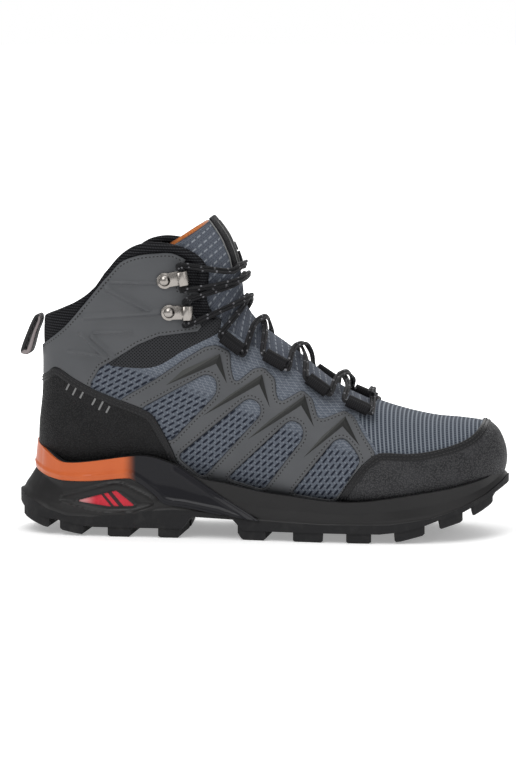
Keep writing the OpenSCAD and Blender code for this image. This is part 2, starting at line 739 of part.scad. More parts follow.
// ---------- laces and hardware ----------
loop_out = 2;      // height of a lace loop's base over the last
loop_l = 12;       // its length along the edge
loop_w = 8;        // and its width
loop_h = 6.2;      // height of the channel
loop_t = 0.8;      // thickness of its webbing
module lace_loops() {
    color("#111213") for (l = LOOPS, side = [-1, 1])
        on_last(l[0], -side * l[1], loop_out, -side * l[2]) rotate([90, 0, 90])
            linear_extrude(height = loop_l, center = true) difference() {
                translate([0, loop_h / 2]) racetrack(loop_w, loop_h);
                translate([0, loop_h / 2]) racetrack(loop_w - 2 * loop_t, loop_h - 2 * loop_t);
            }
}
module racetrack(w, h) {
    square([w - h, h], center = true);
    for (x = [-1, 1]) translate([x * (w - h) / 2, 0]) circle(d = h, $fn = 24);
}
hook_t = 1;          // sheet thickness of a hook
hook_out = 1.8;      // height of its plate over the last
curl_r = 2.6;        // inner radius of the open curl that holds the lace
arm_w = hook_w - 1.2;   // width of its arm and curl
hook_lip = 2.5;         // length of the curl's straight end
hook_reach = hook_l - hook_w / 2 - curl_r - hook_t;   // from the rivet to the curl's middle
module at_hooks(out) {
    for (h = HOOKS, side = [-1, 1]) on_last(h[0], -side * h[1], out, side * (90 + h[2])) children();
}
module lace_hooks() {
    color("#b9b2ab") at_hooks(hook_out) {
        difference() {
            linear_extrude(height = hook_t) union() {
                circle(d = hook_w, $fn = 48);
                translate([0, -arm_w / 2]) square([hook_reach, arm_w]);
            }
            translate([0, 0, -1]) cylinder(h = hook_t + 2, r = rivet_r + 0.1, $fn = 32);
        }
        translate([hook_reach - 0.01, arm_w / 2, hook_t + curl_r]) rotate([90, 0, 0])
            linear_extrude(height = arm_w) intersection() {
                difference() {
                    circle(r = curl_r + hook_t, $fn = 48);
                    circle(r = curl_r, $fn = 48);
                }
                translate([0, -10]) square([10, 20]);
            }
        translate([hook_reach - hook_lip, -arm_w / 2, hook_t + 2 * curl_r]) cube([hook_lip, arm_w, hook_t]);
    }
}
module hook_rivets() {
    color("#8f8a85") at_hooks(hook_out + hook_t + 0.05) {
        intersection() {
            translate([0, 0, -1.8]) sphere(r = 3.9, $fn = 48);
            cylinder(h = 4, r = 4, $fn = 48);
        }
        translate([0, 0, -5.2]) cylinder(h = 6, r = rivet_r, $fn = 32);
    }
}
module hook_washers() {
    color("#8f8a85") at_hooks(-fabric_t - 1) difference() {
        cylinder(h = 0.8, r = 3.6, $fn = 48);
        translate([0, 0, -1]) cylinder(h = 3, r = rivet_r + 0.05, $fn = 32);
    }
}
// Where the lace runs through a loop, from its lower to its upper end
function loop_run(i, side) =
    let (
        l = LOOPS[i],
        f = frame_at(l[0], -side * l[1]),
        p = front(l[0], -side * l[1], loop_out + loop_h / 2)
    )
    [for (t = [-0.75, -0.4, 0.4, 0.75]) p + f[0] * t * loop_l];
// Where it runs through a hook's curl
function hook_run(i, side) =
    let (
        h = HOOKS[i],
        f = frame_at(h[0], -side * h[1]),
        p = front(h[0], -side * h[1], hook_out + hook_t + curl_r) + f[1] * side * (hook_reach + 0.6)
    )
    [for (t = [-7.5, -4, 4, 7.5]) p + f[0] * t];
// Height of the crossings over the last, by ring
LACE_UP = [[6.9, 5], [9, 2.5], [12, 1.9], [16, 1.9], [18, 4.2]];
cross_up = 3;
// A strand over the tongue from angle a0 at ring k0 to a1 at k1; one of two crossing strands
// stands higher in the middle
function strand(k0, a0, k1, a1, over) = [for (t = [0.22, 0.5, 0.78])
    let (up = between(LACE_UP, k0) + (over ? cross_up * (1 - abs(2 * t - 1)) : 0))
    front(k0 + (k1 - k0) * t, a0 + (a1 - a0) * t, up)];
// Half of the lace: a zigzag from the lowest loops up to the top hooks, starting on one side
function half_lace(side) = concat(
    [front(7.02, side * 8, between(LACE_UP, 6.9))],
    loop_run(3, side),
    strand(7.5, -side * 30, 8.1, side * 31, side > 0),
    loop_run(2, -side),
    strand(8.6, side * 31, 9.3, -side * 32, side < 0),
    loop_run(1, side),
    strand(9.9, -side * 33, 11.2, side * 38, side > 0),
    loop_run(0, -side),
    strand(12, side * 36, 13.6, -side * 40, side < 0),
    hook_run(1, side),
    strand(15.6, -side * 38, 16.2, side * 38, side > 0),
    hook_run(0, -side),
    strand(18, side * 36, 17.2, -12, side < 0),
    lace_tail(side)
);
// Its loose end on the inner side of the tongue
function lace_tail(side) = [for (t = [0, 1, 2]) front(17.6 + 0.8 * t, -22.5 - 5.5 * side - t, 3.8 - 0.2 * t)];
module lace() {
    color("#151617") as_mesh() {
        for (side = [-1, 1]) cord(curve(half_lace(side), 2), lace_d, 5);
        cord([for (a = [-12:6:12]) front(7.02, a, between(LACE_UP, 6.9))], lace_d, 5);
    }
}
module lace_aglets() {
    color("#222326") for (side = [-1, 1]) {
        tail = lace_tail(side);
        n = len(tail) - 1;
        cord([for (t = [0.3, 1.5]) tail[n] + (tail[n] - tail[n - 1]) * t], lace_d - 0.2, 12);
    }
}
// The pull loop's webbing in the side view, outer and inner line
PULL = [
    [-137.2, 131.5], [-140.5, 130.5], [-145, 121], [-149, 110], [-147.5, 107.3], [-143, 108.5],
    [-139.5, 120], [-136.7, 127.5]
];
PULL_IN = [
    [-138, 129.8], [-140, 129.2], [-143.8, 120.5], [-147.5, 110], [-147, 108.8], [-143.8, 109.6],
    [-140.6, 120.5], [-138, 127.3]
];
module pull_loop() {
    color("#141516") translate([0, pull_w / 2, 0]) rotate([90, 0, 0]) linear_extrude(height = pull_w)
        difference() {
            polygon(loop(PULL, 4));
            polygon(loop(PULL_IN, 4));
        }
}

outsole();
midsole();
heel_stabiliser();
window_inserts();
shank();
insole_board();
insole();
heel_counter();
toe_puff();
lining();
upper_mesh();
toe_cap();
heel_panel();
cage_lateral();
cage_medial();
chevrons_lateral();
chevrons_medial();
ankle_panel_lateral();
ankle_panel_medial();
flex_panels();
collar();
collar_foam();
tongue_cover();
tongue_foam();
tongue_lining();
tongue_label();
lace_loops();
lace_hooks();
hook_rivets();
hook_washers();
lace();
lace_aglets();
pull_loop();
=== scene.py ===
"""Looks of the hiking boot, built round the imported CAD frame.

Shapes are drawn in millimetres, at the size the CAD model is drawn at, and scaled with the frame.
X runs to the toe, Y to the inner side, Z up. The camera sees the outer side, where Y is negative.
"""
import math

import bmesh
import bpy
import numpy as np
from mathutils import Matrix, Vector
from mathutils.kdtree import KDTree


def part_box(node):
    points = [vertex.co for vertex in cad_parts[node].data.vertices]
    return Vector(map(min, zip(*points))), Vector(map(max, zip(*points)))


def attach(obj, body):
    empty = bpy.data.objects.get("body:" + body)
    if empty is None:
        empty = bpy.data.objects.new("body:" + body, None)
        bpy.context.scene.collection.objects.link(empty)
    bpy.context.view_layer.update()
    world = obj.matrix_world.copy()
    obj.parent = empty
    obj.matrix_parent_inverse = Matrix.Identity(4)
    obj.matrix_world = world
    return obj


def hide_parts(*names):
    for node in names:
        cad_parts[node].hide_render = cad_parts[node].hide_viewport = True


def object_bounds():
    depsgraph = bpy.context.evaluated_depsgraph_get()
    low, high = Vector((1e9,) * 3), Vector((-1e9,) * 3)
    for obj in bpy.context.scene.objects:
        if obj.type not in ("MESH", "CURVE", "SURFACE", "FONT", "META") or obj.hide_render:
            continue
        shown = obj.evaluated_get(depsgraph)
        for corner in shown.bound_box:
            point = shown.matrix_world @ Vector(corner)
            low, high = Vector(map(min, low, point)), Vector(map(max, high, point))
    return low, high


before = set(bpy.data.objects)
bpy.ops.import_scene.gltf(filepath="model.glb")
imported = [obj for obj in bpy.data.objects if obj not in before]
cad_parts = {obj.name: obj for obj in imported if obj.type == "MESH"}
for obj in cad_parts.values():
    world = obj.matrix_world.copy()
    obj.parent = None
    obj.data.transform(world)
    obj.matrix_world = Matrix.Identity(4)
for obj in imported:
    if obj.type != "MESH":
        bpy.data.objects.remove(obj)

CAD_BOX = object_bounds()


def span(node, axis):
    low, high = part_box(node)
    return high[axis] - low[axis]


# Metres for one drawn millimetre along each axis, from the frame
MM = np.array([span("outsole", 0) / 300, span("outsole", 1) / 108, CAD_BOX[1][2] / 192.67])
LAST_RING = 23
OUTER, INNER, BOTH = -1, 1, 0

# ---------------------------------------------------------------- the last
# Rings from the toe tip, under the foot and up the leg: bottom or back point x z, top or front
# point x z, y of the middle, half width, height of the widest place, squareness below and above
RINGS = np.array([
    [147.2, 42, 147.6, 47, 8, 3.5, .45, .60, .75],
    [145, 35, 146.2, 54, 8, 13.5, .42, .58, .75],
    [139.5, 29.5, 142, 62.5, 7.5, 23, .38, .55, .75],
    [131, 26, 134.5, 67.8, 6.5, 31.5, .35, .52, .75],
    [119, 23, 121, 69.9, 5, 39.5, .32, .50, .76],
    [104, 20, 104, 71.6, 3, 45.2, .30, .50, .80],
    [86, 18, 85, 76, 1, 48.6, .28, .50, .85],
    [66, 17, 65, 83, -1, 49.5, .28, .50, .90],
    [44, 18, 43, 94.5, -3, 47, .28, .50, .95],
    [20, 20, 21, 111.5, -4, 42.5, .29, .50, .97],
    [-5, 24, 4, 123, -3.5, 38.8, .31, .50, .95],
    [-32, 28, -5, 131, -2.5, 36.5, .34, .52, .90],
    [-62, 31, -10, 138, -1.5, 35.5, .38, .55, .84],
    [-92, 32, -12, 144, -1, 35, .42, .58, .78],
    [-115, 33, -12.5, 148.5, -.5, 34.5, .44, .60, .74],
    [-130, 37, -13.2, 152.5, 0, 34, .45, .62, .72],
    [-136, 48, -13.8, 157, 0, 34, .45, .64, .70],
    [-136.5, 64, -14.7, 161, 0, 34.2, .45, .66, .69],
    [-134.5, 84, -15.8, 165, 0, 34.5, .45, .67, .68],
    [-134, 104, -17, 169.5, 0, 35, .45, .68, .68],
    [-134.5, 122, -18.8, 174.5, 0, 35.8, .45, .68, .68],
    [-133, 137, -21.5, 180.5, 0, 36.5, .45, .68, .68],
    [-127, 155, -26, 187, 0, 37, .45, .68, .68],
    [-120, 172, -31, 193, 0, 37, .45, .68, .68],
])


def spline(table, k):
    """Smooth curve through the rows of a table at the places k."""
    n = len(table) - 1
    i = np.clip(np.floor(k).astype(int), 0, n - 1)
    f = (k - i)[:, None]
    p0, p1, p2, p3 = (table[np.clip(i + s, 0, n)] for s in (-1, 0, 1, 2))
    return 0.5 * (2 * p1 + (p2 - p0) * f + (2 * p0 - 5 * p1 + 4 * p2 - p3) * f ** 2
                  + (3 * p1 - p0 - 3 * p2 + p3) * f ** 3)


def last_at(k, phi, inset=0.0):
    """Points of the last: phi 0 is the sole or heel, 180 the vamp or shin, negative the outer side."""
    k, phi = np.broadcast_arrays(np.asarray(k, float), np.asarray(phi, float))
    r = spline(RINGS, k.ravel())
    t = np.radians(np.abs(phi.ravel()))
    low, high = r[:, 0:2], r[:, 2:4]
    up = (high - low) / np.linalg.norm(high - low, axis=1)[:, None]
    shift = np.broadcast_to(np.asarray(inset, float), k.shape).ravel()[:, None]
    low, high = low + up * shift, high - up * shift
    under = np.abs(phi.ravel()) <= 90
    v = np.where(under, r[:, 6] * (1 - np.cos(t)), 1 - (1 - r[:, 6]) * (1 + np.cos(t)))
    power = np.where(under, r[:, 7], r[:, 8])
    y = np.sign(phi.ravel()) * (r[:, 5] - shift[:, 0]) * np.clip(np.sin(t), 0, 1) ** power + r[:, 4]
    x, z = (low + (high - low) * v[:, None]).T
    return np.stack([x, y, z], 1)


def wrap(angle):
    return (np.asarray(angle, float) + 180) % 360 - 180


def unit(v):
    return v / np.maximum(np.linalg.norm(v, axis=-1, keepdims=True), 1e-9)


def lengths(path):
    """How far along a path each of its points lies."""
    return np.concatenate([[0], np.cumsum(np.linalg.norm(np.diff(path, axis=0), axis=1))])


def outward(k, phi):
    k, phi = np.asarray(k, float), np.asarray(phi, float)
    across = last_at(k, wrap(phi + 4)) - last_at(k, wrap(phi - 4))
    ahead = last_at(np.minimum(k + .3, LAST_RING), phi) - last_at(np.maximum(k - .3, 0), phi)
    return unit(np.cross(ahead, across))


def front(k, psi, out=0.0):
    """Points outside the last, the angle counted from the middle of the vamp, positive outwards."""
    k, psi, out = np.broadcast_arrays(*(np.asarray(a, float) for a in (k, psi, out)))
    phi = np.where(psi >= 0, psi - 180, psi + 180)
    return last_at(k, phi) + outward(k, phi) * out[:, None]


def frame_at(k, psi):
    """Directions on the last: up the ring list, across it and outwards."""
    k, psi = np.array([float(k)]), np.array([float(psi)])
    z = outward(k, np.where(psi >= 0, psi - 180, psi + 180))[0]
    ahead = (front(k + .2, psi) - front(k - .2, psi))[0]
    x = unit(ahead - z * (ahead @ z))
    return x, np.cross(z, x), z


# ---------------------------------------------------------------- outlines in the side view
def arr(*points):
    return np.array(points, float)


def curve(points, n=4):
    points = np.asarray(points, float)
    return spline(points, np.linspace(0, len(points) - 1, (len(points) - 1) * n + 1))


def loop(points, n=6):
    points = np.asarray(points, float)
    m = len(points)
    wide = np.concatenate([points[-2:], points, points[:3]])
    return spline(wide, np.linspace(2, m + 2, m * n + 1)[:-1])


def rounded(points, r):
    """A closed outline with its corners rounded."""
    steps = 4
    points = np.asarray(points, float)
    out = []
    for a, b, c in zip(np.roll(points, 1, 0), points, np.roll(points, -1, 0)):
        ra = min(r, np.linalg.norm(a - b) / 2.2)
        rc = min(r, np.linalg.norm(c - b) / 2.2)
        p, q = b + unit(a - b) * ra, b + unit(c - b) * rc
        for t in np.linspace(0, 1, steps + 1):
            out.append(p * (1 - t) ** 2 + b * 2 * t * (1 - t) + q * t ** 2)
    return np.array(out)


RIM = arr([152, 46], [146, 41.5], [137, 36.4], [120, 32.2], [100, 29.4], [80, 26.6], [63, 24.6],
          [44, 24.6], [22, 27], [4, 29], [-18, 33.4], [-34, 36.3], [-47.9, 43.4], [-58.6, 47.4],
          [-67.2, 49.2], [-78, 48.8], [-99.4, 45.6], [-113.5, 44.1], [-121.5, 45.1],
          [-129.7, 50.1], [-141, 57])
TOPLINE = arr([-141, 130.5], [-133, 132], [-126, 134.5], [-118.8, 137.6], [-111.4, 141.6],
              [-104, 146.3], [-96.7, 153], [-89.3, 161], [-82, 169.3], [-74.6, 174.6],
              [-67.2, 176.8], [-59.9, 177.1], [-50.3, 175.6], [-42.5, 172.4], [-37, 168.6],
              [-33, 162.6], [-31.6, 155], [-32, 146], [-29.8, 138], [-24, 131])
THROAT = arr([-18, 125], [-8, 118], [4, 111.5], [17, 104.5], [30, 96.5], [43, 89.5], [55, 83.5],
             [64, 80], [70, 81], [73, 86])
COLLAR_EDGE = arr([-143, 108], [-132, 115.3], [-117.6, 126.6], [-104.3, 141.6], [-91.5, 156.8],
                  [-82.6, 166.2], [-72.5, 170.2], [-62.9, 171.4], [-52.2, 171.6], [-43.9, 167.5])
ANKLE_FRONT = arr([-48.4, 160.7], [-47.7, 149.8], [-36.3, 147.5], [-42.8, 138.9], [-34.7, 127])
ANKLE_LOW = arr([-36.8, 124.2], [-60.5, 121.4], [-72.7, 116.3], [-87.8, 106.8], [-95.7, 102.2],
                [-101.5, 92.8])
FLEX_LOW = arr([-24, 126], [-26.1, 123.2], [-45.7, 113.4], [-58.4, 105.4], [-69.8, 102.7],
               [-89, 104])
HEEL_TOP = arr([-142, 91], [-130, 97.1], [-123.4, 101.2], [-111.7, 94.7], [-99.7, 88.8],
               [-84.5, 82.8], [-68.6, 76.9], [-63, 73.2], [-58.6, 66.2], [-52.5, 54.6],
               [-47.8, 43.8], [-38.5, 34])
TOE_TOP = arr([46, 20], [55.6, 35.1], [63.7, 45.7], [71.1, 51.7], [76.2, 53.4], [90.6, 52.6],
              [100.6, 53.2], [110.4, 54.9], [120.2, 57.6], [127.8, 61.2], [133, 66.5], [138, 74])
CAGE_TOP = arr([-83, 83.1], [-61.4, 95.7], [-45.3, 107], [-32.5, 114.9], [-25.4, 116],
               [-17.2, 111.9], [-16.5, 103], [-14.4, 95.3], [-11.7, 94.6], [-2.7, 102.1],
               [3.4, 102.7], [10.5, 96.3], [11.6, 87.6], [13.1, 84], [15.7, 83.4], [26.7, 89.6],
               [33.1, 84.6], [36.7, 74], [39.7, 73], [52.1, 77.4], [58.4, 73.8], [62.9, 66.2],
               [71.6, 53.7])
CAGE_WINDOWS = [
    arr([-71.6, 77.5], [-31.1, 99.5], [-24.9, 96.2], [-24.3, 87.3], [-53.2, 57.1]),
    arr([-49.1, 49], [-5.4, 85.4], [1.7, 82.7], [3.2, 75.5], [-33.7, 35.5]),
    arr([-18.9, 36.1], [20.5, 73.1], [27.9, 70.1], [29.1, 62.3], [3.8, 29.4]),
    arr([20.6, 28.1], [47.3, 61.3], [53.5, 62.5], [59.8, 55.5], [63.7, 48.9], [47.2, 24.6]),
]
# Each peak's facet: top, inner corner, far tip, point on the upper edge, tip on the toe side
CHEVRONS = [
    arr([-23.3, 110.5], [-25.3, 104.9], [-55.4, 91.9], [-45.4, 101], [-18.3, 93.2]),
    arr([2.6, 98.3], [1.2, 93], [-32.8, 74], [-16.7, 86.5], [8.2, 79.6]),
    arr([28.4, 86], [26.7, 80.8], [-5.1, 60.5], [8.3, 72.4], [35, 68.4]),
    arr([52.7, 73.5], [51.7, 68.6], [29.1, 50.7], [40.3, 63.5], [62.5, 57.5]),
]
# Middles of the lace loops as ring and angle, with their roll, and rivets of the lace hooks
LOOPS = [(11.62, 45.2, 4), (9.59, 37.7, 2), (8.39, 36, 0), (7.29, 34.5, -2)]
HOOKS = [(19.8, 66.3, 0), (17.7, 65.6, 0)]
MID_LINE = arr([-152, 25], [-140, 21], [-128, 15.2], [-116, 12], [-99, 11.8], [-80, 13.5],
               [-65, 16], [-50, 17], [-25, 15.5], [0, 12], [40, 10.5], [80, 11], [105, 14.5],
               [125, 20.5], [138, 27], [146, 32.5], [152, 37.5])
GROUND = arr([-152, 14], [-145, 9], [-131, 4.5], [-123, 3.6], [-112, 1.6], [-100, 0], [-45, 0],
             [-40, 7.5], [-14, 6.5], [-8, 0], [75, 0], [88, 1.4], [102, 5], [110, 8], [124, 12],
             [135, 17.5], [144, 23], [152, 28])
PLAN = arr([-150, 0], [-146, -17], [-134, -31], [-110, -39], [-80, -41], [-45, -42.5],
           [-10, -46], [25, -51], [60, -54], [90, -52.5], [115, -45], [135, -30], [147, -10],
           [150, 6], [146, 20], [134, 34], [115, 46], [88, 54], [60, 51.5], [30, 45], [0, 39.5],
           [-40, 37], [-80, 38], [-110, 37], [-134, 29.5], [-146, 16])
LUGS = [(-145, -126), (-119, -104), (-89, -75), (-58, -45), (-9, 8), (19, 37), (51, 66),
        (80, 98), (107, 121), (127, 140)]
BAND_LOW = arr([-143, 41], [-139.9, 39.4], [-135.6, 36.7], [-124.7, 33.9], [-114.3, 33.1],
               [-99.1, 33.6], [-79.8, 35.6], [-73.4, 33.7], [-62.7, 26.3], [-56.2, 20.6],
               [-44, 18.8])
WINDOW = arr([-111.1, 21.4], [-86.1, 28], [-74.3, 19.2], [-90.3, 18.6])
LUG_H, GROOVE = 5.0, 9.0
FAR = 300.0


def joined(*parts):
    return np.concatenate([np.asarray(p, float).reshape(-1, 2) for p in parts])


ABOVE_RIM = joined(curve(RIM), arr([-FAR, 60], [-FAR, FAR], [FAR, FAR], [FAR, 46]))
UPPER = joined(curve(TOPLINE), curve(THROAT), arr([75, FAR], [FAR, FAR], [FAR, 0], [-FAR, 0],
                                                  [-FAR, 130.5]))
HEEL = joined(curve(HEEL_TOP), arr([-38.5, 10], [-FAR, 10], [-FAR, 91]))
TOE = joined(curve(TOE_TOP), arr([FAR, 74], [FAR, 10], [46, 10]))
ANKLE = joined(curve(COLLAR_EDGE), ANKLE_FRONT, ANKLE_LOW, arr([-101.5, 70], [-FAR, 70], [-FAR, 108]))
FLEX = joined(arr([-30, 134], [-24, 131]), curve(FLEX_LOW), arr([-95, 112], [-60, 130]))
COLLAR = joined(curve(TOPLINE), arr([-60, 125], [-115, 105], [-FAR, 105], [-FAR, 130.5]))
CAGE = joined(rounded(joined(CAGE_TOP, arr([71.6, 10], [-100, 10], [-100, 60])), 2.2))


# ---------------------------------------------------------------- meshes as arrays
# A surface is a table of points and its triangles. The table's columns are the place (0 to 2), the
# direction out (3 to 5), ring and angle on the last, share of the sole wall's height, two distances
RING, ANGLE, LIFT, D, E, WIDTH = range(6, 12)


def distance(points, outline):
    """Signed distance to a closed outline in the side view, positive inside, and its direction."""
    a, b = outline, np.roll(outline, -1, 0)
    best = np.full(len(points), 1e18)
    near = np.zeros((len(points), 2))
    inside = np.zeros(len(points), bool)
    x, z = points[:, 0], points[:, 1]
    for p, q in zip(a, b):
        d = q - p
        t = np.clip(((x - p[0]) * d[0] + (z - p[1]) * d[1]) / max(d @ d, 1e-12), 0, 1)
        nx, nz = p[0] + d[0] * t, p[1] + d[1] * t
        m = (x - nx) ** 2 + (z - nz) ** 2
        better = m < best
        best = np.where(better, m, best)
        near[better, 0], near[better, 1] = nx[better], nz[better]
        if p[1] != q[1]:
            crosses = (p[1] > z) != (q[1] > z)
            inside ^= crosses & (x < (q[0] - p[0]) * (z - p[1]) / (q[1] - p[1]) + p[0])
    size = np.sqrt(best)
    sign = np.where(inside, 1.0, -1.0)
    way = (points - near) * (sign / np.maximum(size, 1e-6))[:, None]
    return size * sign, way


def field(table, outline, grow=0.0):
    """The same along the surface: side-view distance corrected for the surface's slope."""
    d, way = distance(table[:, [0, 2]], outline)
    lean = table[:, 3] * way[:, 0] + table[:, 5] * way[:, 1]
    return d / np.clip(np.sqrt(np.maximum(1 - lean ** 2, 0)), 0.35, 1) + grow


def split(table, tris, col, level=0.0):
    """Cuts the triangles along the line where a column has a level, keeping both sides."""
    s = table[:, col] - level
    s = np.where(np.abs(s) < 1e-7, 1e-7, s)
    pos = s[tris] > 0
    count = pos.sum(1)
    mixed = (count == 1) | (count == 2)
    keep, cut = tris[~mixed], tris[mixed]
    if not len(cut):
        return table, tris
    lone = np.where(count[mixed] == 1, pos[mixed].argmax(1), (~pos[mixed]).argmax(1))
    rows = np.arange(len(cut))
    a, b, c = cut[rows, lone], cut[rows, (lone + 1) % 3], cut[rows, (lone + 2) % 3]
    pairs = np.concatenate([np.stack([a, b], 1), np.stack([a, c], 1)])
    edges, which = np.unique(np.sort(pairs, 1), axis=0, return_inverse=True)
    which = which.ravel()
    i, j = edges[:, 0], edges[:, 1]
    f = np.clip(s[i] / (s[i] - s[j]), 0.02, 0.98)[:, None]
    fresh = table[i] * (1 - f) + table[j] * f
    fresh[:, col] = level
    new = which + len(table)
    ab, ac = new[:len(cut)], new[len(cut):]
    out = np.concatenate([keep, np.stack([a, ab, ac], 1), np.stack([ab, b, c], 1),
                          np.stack([ab, c, ac], 1)])
    return np.concatenate([table, fresh]), out


def compact(table, tris):
    used, again = np.unique(tris, return_inverse=True)
    return table[used], again.reshape(-1, 3)


def clip(table, tris, col, level=0.0):
    """Keeps what lies above a level of a column."""
    table, tris = split(table, tris, col, level)
    return compact(table, tris[table[tris, col].mean(1) > level])


def edges_of(tris):
    return np.concatenate([tris[:, [0, 1]], tris[:, [1, 2]], tris[:, [2, 0]]])


def borders(tris):
    """Open edges of a mesh, each in its triangle's direction."""
    e = edges_of(tris)
    _, first, count = np.unique(np.sort(e, 1), axis=0, return_index=True, return_counts=True)
    return e[first[count == 1]]


def contour(table, tris, col, level):
    """Lines along a level of a column as lists of table rows."""
    cut, cut_tris = split(table, tris, col, level)
    on = np.arange(len(cut)) >= len(table)
    e = edges_of(cut_tris)
    links = {}
    for i, j in np.unique(np.sort(e[on[e].all(1)], 1), axis=0).tolist():
        links.setdefault(i, []).append(j)
        links.setdefault(j, []).append(i)
    lines, seen = [], set()
    for start in sorted(links, key=lambda v: (len(links[v]) != 1, v)):
        if start in seen:
            continue
        line, step = [], [start]
        while step:
            line.append(step[0])
            seen.add(step[0])
            step = [v for v in links[step[0]] if v not in seen]
        if len(line) > 3:
            if line[0] in links[line[-1]]:
                line.append(line[0])
            lines.append(cut[line])
    return lines


def grid_faces(n, m, closed=True):
    """Quads of an n by m grid of points, its rows closed into rings if asked."""
    i = np.arange(n - 1)[:, None]
    j = np.arange(m if closed else m - 1)[None, :]
    a, b = i * m + j, i * m + (j + 1) % m
    return np.stack([a, b, b + m, a + m], -1).reshape(-1, 4)


def capped_faces(n, m):
    """Faces of n rings of m points with flat ends."""
    return grid_faces(n, m).tolist() + [list(range(m))[::-1], list(range((n - 1) * m, n * m))]


def ring_faces(n, m):
    """Quads of n rings of m points, the last ring joined to the first."""
    j = np.arange(m)
    last, nxt = (n - 1) * m + j, (j + 1) % m
    return np.concatenate([grid_faces(n, m), np.stack([last, (n - 1) * m + nxt, nxt, j], 1)])


def rim_of(n, m):
    """The points round the border of an n by m grid, in order."""
    return np.concatenate([np.arange(m), np.arange(1, n) * m + m - 1,
                           (n - 1) * m + np.arange(m - 2, -1, -1), np.arange(n - 2, 0, -1) * m])


def triangles(quads):
    return np.concatenate([quads[:, [0, 1, 2]], quads[:, [0, 2, 3]]])


def last_table(ks, cols, inset=0.0):
    """A table of places on the last, ring by ring, a way inside its surface."""
    phis = np.linspace(-180, 180, cols + 1)[:-1]
    k, phi = (g.ravel() for g in np.meshgrid(ks, phis, indexing="ij"))
    table = np.zeros((len(k), WIDTH))
    table[:, :3] = last_at(k, phi, np.repeat(np.broadcast_to(inset, len(ks)), cols))
    table[:, 3:6] = outward(k, phi)
    table[:, RING], table[:, ANGLE] = k, phi
    return table


def base_skin():
    """The whole last as a dense surface, closed at the tip of the toe."""
    rows, cols = ((461, 400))
    table = last_table(np.linspace(0, LAST_RING, rows), cols)
    tip = np.zeros((1, WIDTH))
    tip[0, :3] = table[:cols, :3].mean(0)
    tip[0, 3] = 1
    fan = np.stack([np.full(cols, len(table)), (np.arange(cols) + 1) % cols, np.arange(cols)], 1)
    return np.concatenate([table, tip]), np.concatenate([triangles(grid_faces(rows, cols)), fan])


SKIN = base_skin()


def region(surface, box, half=BOTH):
    """The triangles of a surface inside a side-view box and on one half."""
    table, tris = surface
    x0, z0, x1, z1 = box
    ok = (table[:, 0] > x0) & (table[:, 0] < x1) & (table[:, 2] > z0) & (table[:, 2] < z1)
    if half:
        ok &= np.sign(table[:, ANGLE]) * half >= 0
    return compact(table, tris[ok[tris].all(1)])


def mapper(half):
    """Finds the place on one half of the last that the side view shows at x, z."""
    table, _ = SKIN
    angle = table[:, ANGLE] * half
    ok = (angle > 2) & (angle < 179)
    rows = table[ok]
    tree = KDTree(len(rows))
    for i, row in enumerate(rows):
        tree.insert((row[0], row[2], 0), i)
    tree.balance()

    def place(points):
        found = rows[[tree.find((p[0], p[1], 0))[1] for p in points]]
        k, phi = found[:, RING], found[:, ANGLE]
        for _ in range(4):
            here = last_at(k, phi)
            dk = (last_at(np.minimum(k + .01, LAST_RING), phi) - here) / .01
            dp = (last_at(k, phi + .1) - here) / .1
            miss = np.asarray(points, float) - here[:, [0, 2]]
            det = dk[:, 0] * dp[:, 2] - dk[:, 2] * dp[:, 0]
            det = np.where(np.abs(det) < 1e-6, 1e-6, det)
            k = k + np.clip((miss[:, 0] * dp[:, 2] - miss[:, 1] * dp[:, 0]) / det, -.5, .5)
            phi = phi + np.clip((dk[:, 0] * miss[:, 1] - dk[:, 2] * miss[:, 0]) / det, -5, 5)
            k, phi = np.clip(k, 0, LAST_RING), half * np.clip(np.abs(phi), .5, 179.5)
        return k, phi

    return place


PLACE = {OUTER: mapper(OUTER), INNER: mapper(INNER)}


def on_side(points, half, out=0.0):
    """Points outside the last where the side view shows the given ones, and the directions out."""
    k, phi = PLACE[half](points)
    n = outward(k, phi)
    return last_at(k, phi) + n * np.broadcast_to(np.asarray(out, float), k.shape)[:, None], n


# ---------------------------------------------------------------- objects
def build(name, points, faces, material, body="boot", uv=None, smooth=True, stands_for=(),
          slot=None, sharp=None):
    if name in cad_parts:
        name += "_look"
    mesh = bpy.data.meshes.new(name)
    faces = faces.tolist() if isinstance(faces, np.ndarray) else faces
    mesh.from_pydata((np.asarray(points, float) * MM).tolist(), [], faces)
    mesh.validate()
    if uv is not None:
        layer = mesh.uv_layers.new(name="grain")
        corner = np.zeros(len(mesh.loops), np.int32)
        mesh.loops.foreach_get("vertex_index", corner)
        values = uv[corner] if len(uv) == len(points) else uv
        layer.data.foreach_set("uv", np.asarray(values, np.float32).ravel())
    if smooth:
        mesh.shade_smooth()
    if sharp:
        mesh.set_sharp_from_angle(angle=math.radians(sharp))
    mesh.materials.append(material)
    obj = bpy.data.objects.new(name, mesh)
    bpy.context.scene.collection.objects.link(obj)
    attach(obj, body)
    if stands_for:
        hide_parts(*stands_for)
    return obj


def sheet_mesh(table, tris, heights, depth):
    """Points and faces of a sheet at its heights over a surface, with walls round its edges."""
    top = table[:, :3] + table[:, 3:6] * heights[:, None]
    edge = borders(tris)
    rim, again = np.unique(edge, return_inverse=True)
    again = again.reshape(-1, 2)
    low = table[rim, :3] + table[rim, 3:6] * depth
    i, j = edge[:, 0], edge[:, 1]
    a, b = again[:, 0] + len(top), again[:, 1] + len(top)
    walls = np.concatenate([np.stack([j, i, a], 1), np.stack([j, a, b], 1)])
    return np.concatenate([top, low]), np.concatenate([tris, walls]), rim


def profile(d, thick, width=0.8):
    """Height of a sheet with a rounded edge at distance d from it."""
    t = np.clip(d / width, 0, 1)
    return thick * (0.45 + 0.55 * np.sqrt(1 - (1 - t) ** 2))


